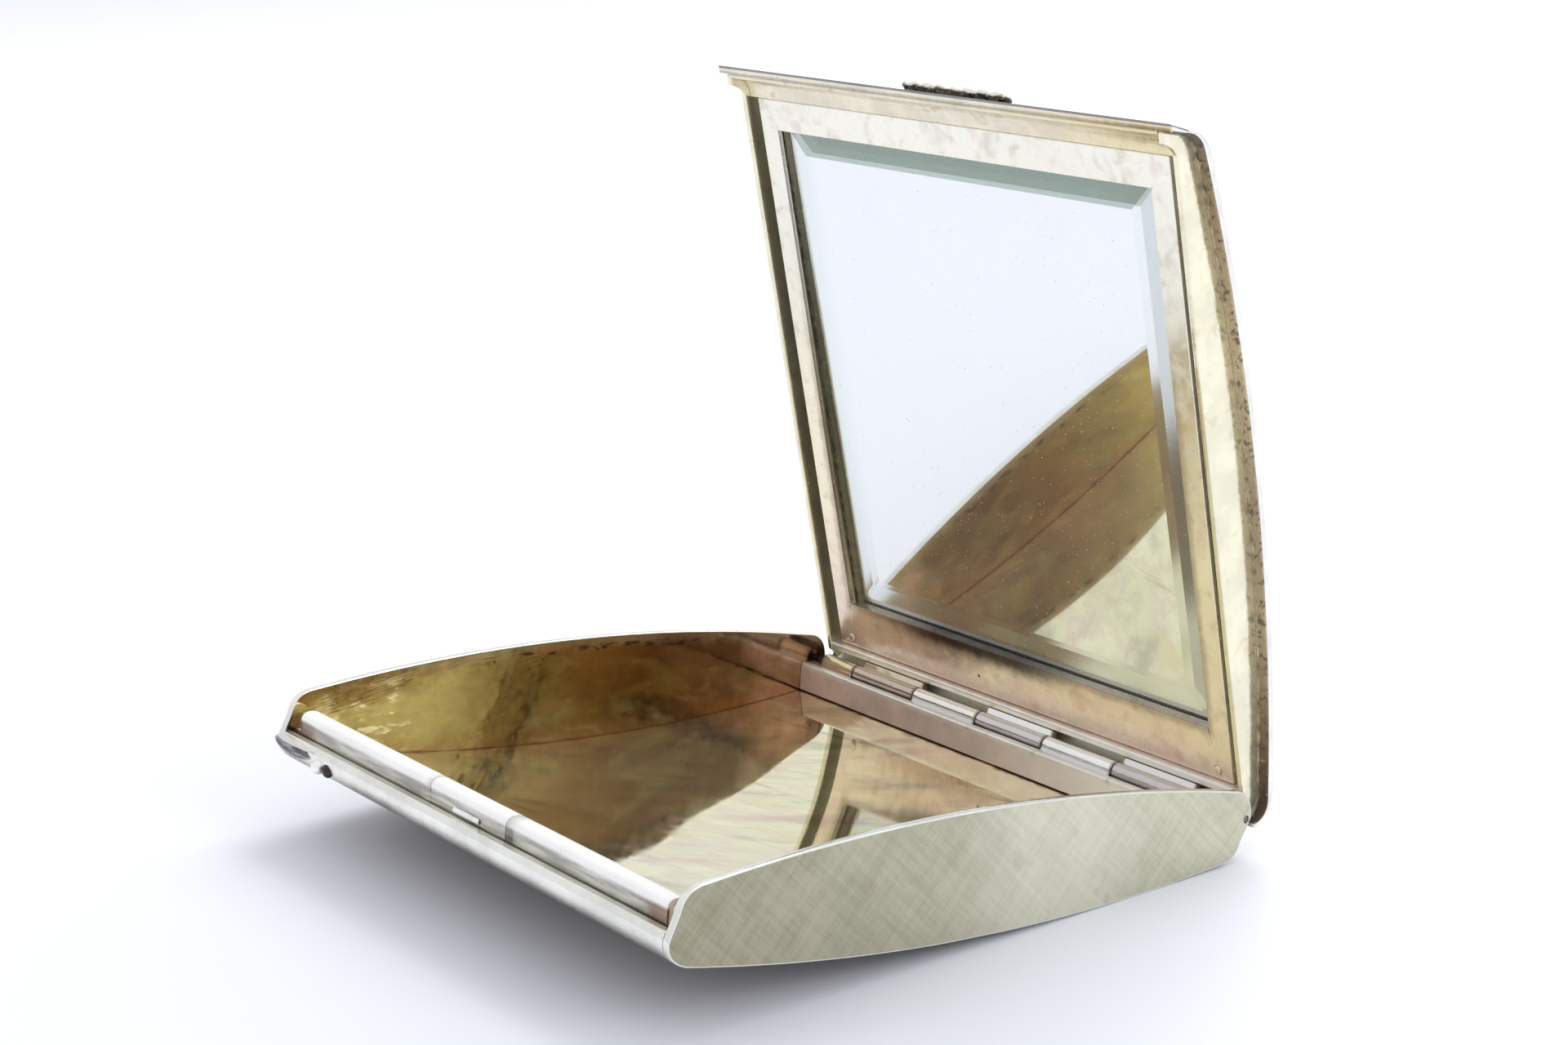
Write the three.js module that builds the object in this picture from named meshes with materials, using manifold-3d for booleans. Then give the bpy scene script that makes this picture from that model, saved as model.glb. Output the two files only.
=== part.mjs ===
// A square silver powder compact with curved top and bottom, standing open.
//
// Axes: +X runs along the hinge, -Y is the front with the catch, +Z is up. The origin lies on the middle of the
// underside, where the case rests when it is closed. All sizes are in millimetres.
//
// Sections are drawn in the Y-Z plane with the case closed and Z measured from the seam between lid and base.
// The lid's pieces sit in a group that is then turned about the hinge pin to the open position.

import * as THREE from "three";
import { mergeVertices } from "three/addons/utils/BufferGeometryUtils.js";
import Module from "manifold-3d";

// ---------------------------------------------------------------- driving dimensions

const WIDTH = 73.5; // over the two flat sides
const CROWN = 6.65; // height of the side walls above and below the seam, at mid-depth
const EDGE = 3.53; // the same at the front and back
const HALF_DEPTH = 38;
const WALL_SHEET = 0.9; // side walls of the base
const SKIN_SHEET = 1.0; // curved skins of base and lid
const BAND_SHEET = 0.8; // bezel, bearers and other strips
const REST_FLAT = 4; // half the depth of the worn flat under the base
const LID_LIFT = 0.1; // clearance between the side walls and the lid skin that closes on them
const JOINT_GAP = 0.04; // soldered faces stay this far apart

const LID_WALL_SHEET = 0.75;
const LID_WALL_CLEARANCE = 0.4; // between a lid wall and the base wall outside it
const LID_RIM = 1.7; // height of the lid walls' straight rim above the seam
const OPEN_ANGLE = 73.8; // how far the lid stands from closed, in degrees

const PIN_Y = 37.5;
const PIN_Z = 0.55;
const PIN_RADIUS = 0.4;
const KNUCKLE_RADIUS = 1.05;
const BASE_BORE = 0.43;
const LID_BORE = 0.46;
const KNUCKLE_LENGTH = 11.4; // the five middle knuckles
const KNUCKLE_GAP = 0.16;
const KNUCKLE_ROW = 34.6; // half the length of the whole row

const FRAME_FACE = 2.5; // height of the mirror frame's visible face above the seam
const FRAME_SHEET = 0.55;
const FRAME_HALF_WIDTH = 33.4;
const FRAME_FRONT = -34.72;
const FRAME_BACK = 35.2;
const WINDOW_HALF_WIDTH = 30.45;
const WINDOW_FRONT = -31.05;
const WINDOW_BACK = 29.3;
const FRAME_PIN_RADIUS = 0.5;
const FRAME_PIN_X = 31.2;
const FRAME_PIN_Y = 34.0;

const GLASS_HALF_WIDTH = 31.4;
const GLASS_FRONT = -33.0;
const GLASS_BACK = 30.9;
const GLASS_FACE = 3.1;
const GLASS_THICKNESS = 1.1;
const BEVEL_WIDTH = 4.8;
const BEVEL_DROP = 0.5;
const GLASS_TILT = 0.4; // degrees: the glass sits a little deeper towards the hinge
const PACKING_THICKNESS = 0.7;

const BEZEL_HALF_WIDTH = 34.3;
const TONGUE_HALF_WIDTH = 7;
const SLIT = 0.35; // saw cut at each end of the catch tongue
const TONGUE_ROOT = -0.6; // height of the tongue's root
const BEAD_HALF_WIDTH = 2.6;

const SILVER = 0xc9c8bc;
const TARNISHED = 0x9a8f7c;
const GILT = 0xa8925c;
const OXIDISED = 0x4a453c;
const LOOKING_GLASS = 0xe8eeec;
const FELT = 0x6f6250;

// ---------------------------------------------------------------- solids and sections

const wasm = await Module();
wasm.setup();

function toManifold(geometry) {
  const bare = geometry.clone();
  bare.deleteAttribute("normal");
  bare.deleteAttribute("uv");
  const merged = mergeVertices(bare, 1e-4);
  return new wasm.Manifold(
    new wasm.Mesh({
      numProp: 3,
      vertProperties: new Float32Array(merged.attributes.position.array),
      triVerts: new Uint32Array(merged.index.array),
    }),
  );
}

function toGeometry(manifold) {
  const mesh = manifold.getMesh();
  const geometry = new THREE.BufferGeometry();
  geometry.setAttribute("position", new THREE.BufferAttribute(new Float32Array(mesh.vertProperties), 3));
  geometry.setIndex(new THREE.BufferAttribute(new Uint32Array(mesh.triVerts), 1));
  geometry.computeVertexNormals();
  return geometry;
}

// A Y-Z section pulled along X from xFrom to xTo.
function pullAlongX(section, xFrom, xTo, curveSegments = 12) {
  const geometry = new THREE.ExtrudeGeometry(section, {
    depth: xTo - xFrom,
    bevelEnabled: false,
    steps: 1,
    curveSegments,
  });
  const turn = new THREE.Matrix4().makeBasis(
    new THREE.Vector3(0, 1, 0),
    new THREE.Vector3(0, 0, 1),
    new THREE.Vector3(1, 0, 0),
  );
  return geometry.applyMatrix4(turn).translate(xFrom, 0, 0);
}

function box(xFrom, xTo, yFrom, yTo, zFrom, zTo) {
  const geometry = new THREE.BoxGeometry(xTo - xFrom, yTo - yFrom, zTo - zFrom);
  return geometry.translate((xFrom + xTo) / 2, (yFrom + yTo) / 2, (zFrom + zTo) / 2);
}

// The bowed surfaces are arcs of one large radius; each parallel surface has its own crest and radius.
const SAGITTA = CROWN - EDGE;
const BOW_RADIUS = (HALF_DEPTH ** 2 + SAGITTA ** 2) / (2 * SAGITTA);
const UPPER = 1;
const LOWER = -1;

function bow(side, crest) {
  return { side, crest, radius: BOW_RADIUS + crest - CROWN };
}

function bowHeight({ side, crest, radius }, y) {
  return side * (crest - radius + Math.sqrt(radius ** 2 - y ** 2));
}

function addBow(path, curve, yFrom, yTo) {
  const { side, crest, radius } = curve;
  const angle = (y) => side * Math.acos(y / radius);
  path.absarc(0, side * (crest - radius), radius, angle(yFrom), angle(yTo), side * (yTo - yFrom) > 0);
}

const caseTop = bow(UPPER, CROWN);
const caseBottom = bow(LOWER, CROWN);
const floorTop = bow(LOWER, CROWN - SKIN_SHEET);
const lidInside = bow(UPPER, CROWN + LID_LIFT);
const lidOutside = bow(UPPER, CROWN + LID_LIFT + SKIN_SHEET);
const underside = bowHeight(caseBottom, REST_FLAT);

// The underside from the front corner to the back corner, with its small worn flat.
function addUnderside(path, yFront, yBack) {
  addBow(path, caseBottom, yFront, -REST_FLAT);
  path.lineTo(REST_FLAT, underside);
  addBow(path, caseBottom, REST_FLAT, yBack);
}

// ---------------------------------------------------------------- base sections

// The nose leans out towards its widest line below the seam, then tucks under.
const NOSE_Y = -38.35;
const NOSE_Z = -1.0;

function baseWallSection() {
  const s = new THREE.Shape();
  s.moveTo(-35, bowHeight(caseTop, -35));
  s.quadraticCurveTo(-36.9, 3.6, -37.3, 1.6);
  s.lineTo(NOSE_Y, NOSE_Z);
  s.quadraticCurveTo(-38.6, -3.1, -36, bowHeight(caseBottom, -36));
  addUnderside(s, -36, 34.6);
  s.quadraticCurveTo(36.6, -3.7, 37, -1.9);
  s.lineTo(38.25, 0.6);
  s.quadraticCurveTo(38.2, 3.4, 36, bowHeight(caseTop, 36));
  addBow(s, caseTop, 36, -35);
  s.holes.push(circlePath(PIN_Y, PIN_Z, BASE_BORE));
  return s;
}

function circlePath(y, z, radius) {
  const path = new THREE.Path();
  path.absarc(y, z, radius, 0, 2 * Math.PI, false);
  return path;
}

function baseSkinSection() {
  const s = new THREE.Shape();
  s.moveTo(-38.07, -0.3);
  s.lineTo(NOSE_Y, NOSE_Z);
  s.quadraticCurveTo(-38.6, -3.1, -36, bowHeight(caseBottom, -36));
  addUnderside(s, -36, 34.6);
  s.quadraticCurveTo(36.6, -3.7, 37, -1.9);
  s.lineTo(37.5, -0.8);
  s.lineTo(36.6, -0.8);
  s.lineTo(36.1, -1.8);
  s.quadraticCurveTo(35.8, -2.9, 34.2, bowHeight(floorTop, 34.2));
  addBow(s, floorTop, 34.2, -35.2);
  s.quadraticCurveTo(-37.4, -2.5, -37.35, NOSE_Z);
  s.lineTo(-37.1, -0.3);
  s.closePath();
  return s;
}

// The bezel stands inside the nose and rolls over inwards in a rounded bead.
function bezelSection() {
  const s = new THREE.Shape();
  s.moveTo(-36.9, 1.1);
  s.lineTo(-36.9, -1.95);
  s.lineTo(-36.9 + BAND_SHEET, -2.45);
  s.lineTo(-36.9 + BAND_SHEET, 0.9);
  s.quadraticCurveTo(-36.1, 1.45, -35.7, 1.45);
  s.quadraticCurveTo(-35.1, 1.45, -34.95, 1.05);
  s.lineTo(-34.3, 1.2);
  s.quadraticCurveTo(-34.5, 2.15, -35.7, 2.15);
  s.quadraticCurveTo(-36.9, 2.15, -36.9, 1.1);
  return s;
}

function catchBeadSection() {
  const s = new THREE.Shape();
  s.moveTo(-36.9 - JOINT_GAP, 0.55);
  s.quadraticCurveTo(-37.5, 0.2, -36.9 - JOINT_GAP, -0.15);
  s.closePath();
  return s;
}

// The strip along the back of the tray, with a ledge that reaches to the hinge.
function baseBearerSection() {
  const s = new THREE.Shape();
  s.moveTo(34.4, -2.98);
  s.lineTo(34.4 + BAND_SHEET, -2.74);
  s.lineTo(34.4 + BAND_SHEET, -0.25);
  s.lineTo(36.2, -0.65);
  s.lineTo(36.2, 0.05);
  s.lineTo(35.3, 0.5);
  s.lineTo(34.8, 0.5);
  s.quadraticCurveTo(34.4, 0.5, 34.4, 0.1);
  s.closePath();
  return s;
}

function barrelPoint(degrees) {
  const a = THREE.MathUtils.degToRad(degrees);
  return [PIN_Y + KNUCKLE_RADIUS * Math.cos(a), PIN_Z + KNUCKLE_RADIUS * Math.sin(a)];
}

// A barrel round the pin with a web that reaches its leaf: web lists the corners from one side to the other.
function knuckleSection(fromDegrees, toDegrees, web, bore) {
  const s = new THREE.Shape();
  s.moveTo(...barrelPoint(fromDegrees));
  for (const corner of web) s.lineTo(...corner);
  s.lineTo(...barrelPoint(toDegrees));
  const start = THREE.MathUtils.degToRad(toDegrees);
  const end = THREE.MathUtils.degToRad(fromDegrees + 360);
  s.absarc(PIN_Y, PIN_Z, KNUCKLE_RADIUS, start, end, false);
  s.holes.push(circlePath(PIN_Y, PIN_Z, bore));
  return s;
}

const baseWeb = [
  [36.24, 0],
  [36.24, -0.62],
  [36.65, -0.74],
  [37.4, -0.74],
];
const lidWeb = [
  [38.1, 1.75],
  [38.1, 2.3],
  [36.35, 2.3],
  [36.35, 1.8],
];

// ---------------------------------------------------------------- lid sections, drawn closed

function lidSkinSection() {
  const s = new THREE.Shape();
  s.moveTo(-38.95, 0);
  s.lineTo(-38.12, 0);
  s.lineTo(-37.45, 1.7);
  s.quadraticCurveTo(-37, 3.85, -34.9, bowHeight(lidInside, -34.9));
  addBow(s, lidInside, -34.9, 36);
  s.quadraticCurveTo(38.35, 3.85, 38.4, 1.5);
  s.lineTo(39.1, 1.5);
  s.quadraticCurveTo(38.5, 4.7, 36, bowHeight(lidOutside, 36));
  addBow(s, lidOutside, 36, -35);
  s.quadraticCurveTo(-37.05, 4.5, -37.75, 2.4);
  s.closePath();
  return s;
}

function lidWallSection() {
  const top = bow(UPPER, CROWN + LID_LIFT - JOINT_GAP);
  const s = new THREE.Shape();
  s.moveTo(-38.03, 0.06);
  s.lineTo(-36.7, 0.06);
  s.quadraticCurveTo(-35.9, LID_RIM, -34.9, LID_RIM);
  s.lineTo(36.3, LID_RIM);
  s.lineTo(37.6, 2.6);
  s.quadraticCurveTo(37.5, 3.72, 36, bowHeight(top, 36));
  addBow(s, top, 36, -34.9);
  s.quadraticCurveTo(-36.9, 3.8, -37.4, 1.7);
  s.closePath();
  return s;
}

// The cove inside the nose, from the rim up to the mirror frame.
function lidFrontBandSection() {
  const s = new THREE.Shape();
  s.moveTo(-38.03, 0.06);
  s.lineTo(-37.6, 0.06);
  s.lineTo(-37.35, 0.9);
  s.quadraticCurveTo(-36.9, FRAME_FACE, FRAME_FRONT - 0.08, FRAME_FACE);
  s.lineTo(FRAME_FRONT - 0.08, 3.5);
  s.lineTo(-36, 3.5);
  s.quadraticCurveTo(-37.1, 3.3, -37.4, 1.72);
  s.closePath();
  return s;
}

function lidBearerSection() {
  const s = new THREE.Shape();
  s.moveTo(35.27, 3.9);
  s.lineTo(35.27, 2);
  s.quadraticCurveTo(35.27, LID_RIM, 35.6, LID_RIM);
  s.lineTo(36.05, LID_RIM);
  s.lineTo(36.3, 1.95);
  s.lineTo(36.3, 2.3);
  s.lineTo(36.05, 2.5);
  s.lineTo(36.05, 3.8);
  s.closePath();
  return s;
}

// ---------------------------------------------------------------- solids that are not plain pulled sections

function mirrorFrame() {
  const outline = new THREE.Shape();
  outline.moveTo(-FRAME_HALF_WIDTH, FRAME_FRONT);
  outline.lineTo(FRAME_HALF_WIDTH, FRAME_FRONT);
  outline.lineTo(FRAME_HALF_WIDTH, FRAME_BACK);
  outline.lineTo(-FRAME_HALF_WIDTH, FRAME_BACK);
  outline.closePath();
  const opening = new THREE.Path();
  opening.moveTo(-WINDOW_HALF_WIDTH, WINDOW_FRONT);
  opening.lineTo(-WINDOW_HALF_WIDTH, WINDOW_BACK);
  opening.lineTo(WINDOW_HALF_WIDTH, WINDOW_BACK);
  opening.lineTo(WINDOW_HALF_WIDTH, WINDOW_FRONT);
  opening.closePath();
  outline.holes.push(opening);
  for (const x of [-FRAME_PIN_X, FRAME_PIN_X]) {
    outline.holes.push(circlePath(x, FRAME_PIN_Y, FRAME_PIN_RADIUS + JOINT_GAP));
  }
  const plate = new THREE.ExtrudeGeometry(outline, { depth: FRAME_SHEET, bevelEnabled: false, curveSegments: 6 });
  return plate.translate(0, 0, FRAME_FACE);
}

// Glass with a wide bevel round its face: three rectangles joined one above the other.
function bevelledGlass() {
  const levels = [
    [GLASS_FACE, BEVEL_WIDTH],
    [GLASS_FACE + BEVEL_DROP, 0],
    [GLASS_FACE + GLASS_THICKNESS, 0],
  ];
  const points = levels.flatMap(([z, inset]) => {
    const x = GLASS_HALF_WIDTH - inset;
    const front = GLASS_FRONT + inset;
    const back = GLASS_BACK - inset;
    return [-x, front, z, x, front, z, x, back, z, -x, back, z];
  });
  const faces = [0, 2, 1, 0, 3, 2];
  for (const low of [0, 4]) {
    for (let side = 0; side < 4; side++) {
      const a = low + side;
      const b = low + ((side + 1) % 4);
      faces.push(a, b, b + 4, a, b + 4, a + 4);
    }
  }
  faces.push(8, 9, 10, 8, 10, 11);
  const geometry = new THREE.BufferGeometry();
  geometry.setAttribute("position", new THREE.Float32BufferAttribute(points, 3));
  geometry.setIndex(faces);
  geometry.computeVertexNormals();
  return geometry;
}

// Tips the glass, or its packing, about the front edge of the glass.
function seated(geometry) {
  const tilt = THREE.MathUtils.degToRad(GLASS_TILT);
  return geometry.translate(0, -GLASS_FRONT, -GLASS_FACE).rotateX(tilt).translate(0, GLASS_FRONT, GLASS_FACE);
}

function pinAlongX(radius, xFrom, xTo) {
  const geometry = new THREE.CylinderGeometry(radius, radius, xTo - xFrom, 20);
  return geometry.rotateZ(Math.PI / 2).translate((xFrom + xTo) / 2, PIN_Y, PIN_Z);
}

function framePin(x) {
  const bottom = FRAME_FACE - 0.15;
  const length = 1.2;
  const geometry = new THREE.CylinderGeometry(FRAME_PIN_RADIUS, FRAME_PIN_RADIUS, length, 16);
  return geometry.rotateX(Math.PI / 2).translate(x, FRAME_PIN_Y, bottom + length / 2);
}

// A cast spray: a round boss in the middle and leaves that shrink towards both ends, trimmed to its seat.
function castSpray({ x, y, z, halfLength, leaves, depth, height, seat }) {
  let spray = toManifold(new THREE.SphereGeometry(1, 14, 8).scale(1.15 * depth, depth, height).translate(x, y, z));
  for (const side of [-1, 1]) {
    for (let i = 1; i <= leaves; i++) {
      const along = (i / leaves) * (halfLength - depth);
      const shrink = 1 - 0.32 * (i / leaves);
      const leaf = new THREE.SphereGeometry(1, 12, 7);
      leaf.scale(1.2 * depth, 0.85 * depth * shrink, height * shrink);
      leaf.rotateY(side * 0.35);
      leaf.translate(x + side * along, y, z);
      spray = spray.add(toManifold(leaf));
    }
  }
  return toGeometry(spray.subtract(toManifold(seat)));
}

const halfWidth = WIDTH / 2;
const innerHalfWidth = halfWidth - WALL_SHEET;
const lidWallOutside = innerHalfWidth - LID_WALL_CLEARANCE;
const lidInnerHalfWidth = lidWallOutside - LID_WALL_SHEET;

function thumbPiece() {
  const seat = pullAlongX(lidSkinSection(), -halfWidth, halfWidth).translate(0, -0.05, 0.05);
  const filler = box(-12, 12, -38, -30, -2, 4.1);
  const below = toGeometry(toManifold(seat).add(toManifold(filler)));
  return castSpray({ x: 0, y: -37.35, z: 4.5, halfLength: 8.8, leaves: 3, depth: 1.5, height: 1.35, seat: below });
}

function baseOrnament() {
  const wall = baseWallSection();
  wall.holes.length = 0;
  const seat = pullAlongX(wall, -halfWidth - 4, halfWidth).translate(0, -0.05, -0.02);
  const x = -30.7;
  return castSpray({ x, y: -38.2, z: -1.75, halfLength: 6.4, leaves: 2, depth: 1.25, height: 1.25, seat });
}

// ---------------------------------------------------------------- pieces

function piece(name, geometry, color, roughness = 0.35, metalness = 1) {
  const mesh = new THREE.Mesh(geometry, new THREE.MeshStandardMaterial({ color, roughness, metalness }));
  mesh.name = name;
  return mesh;
}

// Seven knuckles: odd ones belong to the base, even ones to the lid.
function knuckles() {
  const made = { base: [], lid: [] };
  const inner = 2.5 * KNUCKLE_LENGTH;
  const edges = [-KNUCKLE_ROW];
  for (let i = 0; i <= 5; i++) edges.push(-inner + i * KNUCKLE_LENGTH);
  edges.push(KNUCKLE_ROW);
  const baseSection = knuckleSection(185, 268, baseWeb, BASE_BORE);
  const lidSection = knuckleSection(60, 125, lidWeb, LID_BORE);
  for (let i = 0; i < 7; i++) {
    const isBase = i % 2 === 0;
    const from = edges[i] + KNUCKLE_GAP / 2;
    const to = edges[i + 1] - KNUCKLE_GAP / 2;
    const list = isBase ? made.base : made.lid;
    const name = `${isBase ? "base" : "lid"}_knuckle_${list.length + 1}`;
    list.push(piece(name, pullAlongX(isBase ? baseSection : lidSection, from, to, 10), SILVER, 0.25));
  }
  return made;
}

const hinge = knuckles();

function basePieces() {
  const wall = baseWallSection();
  const skinHalfWidth = innerHalfWidth - JOINT_GAP;
  const strip = toManifold(pullAlongX(bezelSection(), -BEZEL_HALF_WIDTH, BEZEL_HALF_WIDTH));
  const cut = TONGUE_HALF_WIDTH + SLIT;
  const bezel = strip.subtract(toManifold(box(-cut, cut, -38, -33, TONGUE_ROOT, 3)));
  const tongueSpace = box(-TONGUE_HALF_WIDTH, TONGUE_HALF_WIDTH, -38, -33, TONGUE_ROOT + JOINT_GAP, 3);
  const tongue = strip.intersect(toManifold(tongueSpace));
  const bead = pullAlongX(catchBeadSection(), -BEAD_HALF_WIDTH, BEAD_HALF_WIDTH, 6);
  return [
    piece("base_skin", pullAlongX(baseSkinSection(), -skinHalfWidth, skinHalfWidth), TARNISHED, 0.4),
    piece("base_wall_left", pullAlongX(wall, -halfWidth, -innerHalfWidth), SILVER, 0.45),
    piece("base_wall_right", pullAlongX(wall, innerHalfWidth, halfWidth), SILVER, 0.45),
    piece("base_front_bezel", toGeometry(bezel), SILVER, 0.2),
    piece("catch_tongue", toGeometry(tongue), SILVER, 0.2),
    piece("catch_bead", bead, SILVER, 0.2),
    piece("base_rear_bearer", pullAlongX(baseBearerSection(), -skinHalfWidth, skinHalfWidth), TARNISHED, 0.35),
    piece("hinge_pin", pinAlongX(PIN_RADIUS, -halfWidth, halfWidth), TARNISHED, 0.5),
    piece("base_ornament", baseOrnament(), OXIDISED, 0.5),
    ...hinge.base,
  ];
}

function lidPieces() {
  const wall = lidWallSection();
  const stripHalfWidth = lidInnerHalfWidth - JOINT_GAP;
  const packingFrom = GLASS_FACE + GLASS_THICKNESS + JOINT_GAP;
  const packing = box(-27, 27, -24, 22, packingFrom, packingFrom + PACKING_THICKNESS);
  return [
    piece("lid_skin", pullAlongX(lidSkinSection(), -halfWidth, halfWidth), SILVER, 0.35),
    piece("lid_wall_left", pullAlongX(wall, -lidWallOutside, -lidInnerHalfWidth), SILVER, 0.2),
    piece("lid_wall_right", pullAlongX(wall, lidInnerHalfWidth, lidWallOutside), SILVER, 0.2),
    piece("lid_front_band", pullAlongX(lidFrontBandSection(), -stripHalfWidth, stripHalfWidth), SILVER, 0.3),
    piece("lid_rear_bearer", pullAlongX(lidBearerSection(), -stripHalfWidth, stripHalfWidth), TARNISHED, 0.3),
    piece("mirror_frame", mirrorFrame(), TARNISHED, 0.35),
    piece("mirror_glass", seated(bevelledGlass()), LOOKING_GLASS, 0.02),
    piece("mirror_packing", seated(packing), FELT, 0.9, 0),
    piece("frame_pin_left", framePin(-FRAME_PIN_X), GILT, 0.4),
    piece("frame_pin_right", framePin(FRAME_PIN_X), GILT, 0.4),
    piece("thumb_piece", thumbPiece(), OXIDISED, 0.5),
    ...hinge.lid,
  ];
}

const closedLid = new THREE.Group();
closedLid.position.set(0, -PIN_Y, -PIN_Z);
closedLid.add(...lidPieces());

const lid = new THREE.Group();
lid.position.set(0, PIN_Y, PIN_Z);
lid.rotation.x = THREE.MathUtils.degToRad(-OPEN_ANGLE);
lid.add(closedLid);

const compact = new THREE.Group();
compact.position.z = -underside;
compact.add(...basePieces(), lid);

const model = new THREE.Group();
model.add(compact);

export default model;
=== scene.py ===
import bisect
import math

import bmesh
import bpy
from mathutils import Matrix, Vector, noise
from mathutils.geometry import tessellate_polygon


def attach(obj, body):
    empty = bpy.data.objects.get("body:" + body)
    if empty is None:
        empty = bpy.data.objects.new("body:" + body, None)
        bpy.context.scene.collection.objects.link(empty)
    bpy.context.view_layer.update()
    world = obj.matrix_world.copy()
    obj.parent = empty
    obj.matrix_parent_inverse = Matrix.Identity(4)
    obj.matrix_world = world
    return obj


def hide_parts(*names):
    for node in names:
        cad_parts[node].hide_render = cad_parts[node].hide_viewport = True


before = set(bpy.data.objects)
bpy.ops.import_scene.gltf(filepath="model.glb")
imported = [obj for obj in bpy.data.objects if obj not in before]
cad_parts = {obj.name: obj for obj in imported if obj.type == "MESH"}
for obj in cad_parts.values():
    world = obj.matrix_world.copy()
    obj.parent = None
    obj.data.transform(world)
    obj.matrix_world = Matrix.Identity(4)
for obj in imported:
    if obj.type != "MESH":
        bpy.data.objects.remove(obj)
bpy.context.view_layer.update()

MM = 0.001

# ---- dimensions, in millimetres

HALF_WIDTH = 36.75
WALL_SHEET = 0.9
INNER = HALF_WIDTH - WALL_SHEET
JOINT_GAP = 0.04
CROWN = 6.65
EDGE = 3.53
HALF_DEPTH = 38.0
SKIN_SHEET = 1.0
LID_LIFT = 0.1
LID_WALL_OUT = INNER - 0.4
LID_WALL_IN = LID_WALL_OUT - 0.75
LID_RIM = 1.7
REST_FLAT = 4.0
OPEN_ANGLE = 73.8
PIN_Y = 37.5
PIN_Z = 0.55
PIN_RADIUS = 0.4
BASE_BORE = 0.43
LID_BORE = 0.46
KNUCKLE_RADIUS = 1.05
FRAME_FACE = 2.5
FRAME_SHEET = 0.55
FRAME_LIP = 3.82
FRAME_FRONT = -34.72
FRAME_BACK = 35.2
FRAME_PIN_X = 31.2
FRAME_PIN_Y = 34.0
WINDOW_HALF = 30.45
WINDOW_FRONT = -31.05
WINDOW_BACK = 29.3
BEZEL_FRONT = -36.9
BEZEL_BACK = -36.1

SAGITTA = CROWN - EDGE
BOW_RADIUS = (HALF_DEPTH**2 + SAGITTA**2) / (2 * SAGITTA)


class Bow:
    """One of the large concentric arcs of the skins. Side is 1 above the seam and -1 below it."""

    def __init__(self, side, crest):
        self.side = side
        self.crest = crest
        self.radius = BOW_RADIUS + crest - CROWN

    def at(self, y):
        return self.side * (self.crest - self.radius + math.sqrt(self.radius**2 - y * y))


case_top = Bow(1, CROWN)
case_bottom = Bow(-1, CROWN)
floor_top = Bow(-1, CROWN - SKIN_SHEET)
lid_inside = Bow(1, CROWN + LID_LIFT)
lid_outside = Bow(1, CROWN + LID_LIFT + SKIN_SHEET)
UNDERSIDE = case_bottom.at(REST_FLAT)

SEAM = Matrix.Translation((0, 0, -UNDERSIDE * MM))
PIN = Vector((0, PIN_Y * MM, PIN_Z * MM))
OPENED = (
    SEAM
    @ Matrix.Translation(PIN)
    @ Matrix.Rotation(math.radians(-OPEN_ANGLE), 4, "X")
    @ Matrix.Translation(-PIN)
)

# ---- outlines


class Outline:
    """A closed outline. Each point holds its corner radius and the finish of the run after it."""

    def __init__(self, u, v, finish=0, radius=None):
        self.finish = finish
        self.points = [(u, v, radius, finish)]

    def line(self, u, v, radius=None, finish=None):
        self._add(u, v, radius, finish)
        return self

    def lines(self, *corners):
        for u, v in corners:
            self.line(u, v)
        return self

    def curve(self, cu, cv, u, v, radius=None, finish=None, steps=14):
        u0, v0 = self.points[-1][:2]
        for i in range(1, steps):
            t = i / steps
            a, b, c = (1 - t) ** 2, 2 * t * (1 - t), t * t
            self._add(a * u0 + b * cu + c * u, a * v0 + b * cv + c * v, 0, None)
        self._add(u, v, radius, finish)
        return self

    def bow(self, bow, u, radius=None, finish=None, steps=56):
        u0 = self.points[-1][0]
        for i in range(1, steps):
            x = u0 + (u - u0) * i / steps
            self._add(x, bow.at(x), 0, None)
        self._add(u, bow.at(u), radius, finish)
        return self

    def arc(self, u, v, r, start, end, steps=40):
        for i in range(steps + 1):
            a = math.radians(start + (end - start) * i / steps)
            self._add(u + r * math.cos(a), v + r * math.sin(a), 0, None)
        return self

    def _add(self, u, v, radius, finish):
        u0, v0 = self.points[-1][:2]
        if math.hypot(u - u0, v - v0) < 1e-4:
            return
        if finish is not None:
            self.finish = finish
        self.points.append((u, v, radius, self.finish))

    def closed(self):
        pts = list(self.points)
        if math.hypot(pts[0][0] - pts[-1][0], pts[0][1] - pts[-1][1]) < 1e-4:
            pts.pop()
        return pts


def circle(u, v, r, steps=32):
    out = Outline(u + r, v, radius=0)
    return out.arc(u, v, r, 0, 360, steps)


def signed_area(pts):
    return sum(a[0] * b[1] - b[0] * a[1] for a, b in zip(pts, pts[1:] + pts[:1])) / 2


SHARPEST_SMOOTH_TURN = math.radians(14)
ROOM = 0.45  # the share of a run that one rounding may take


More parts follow.
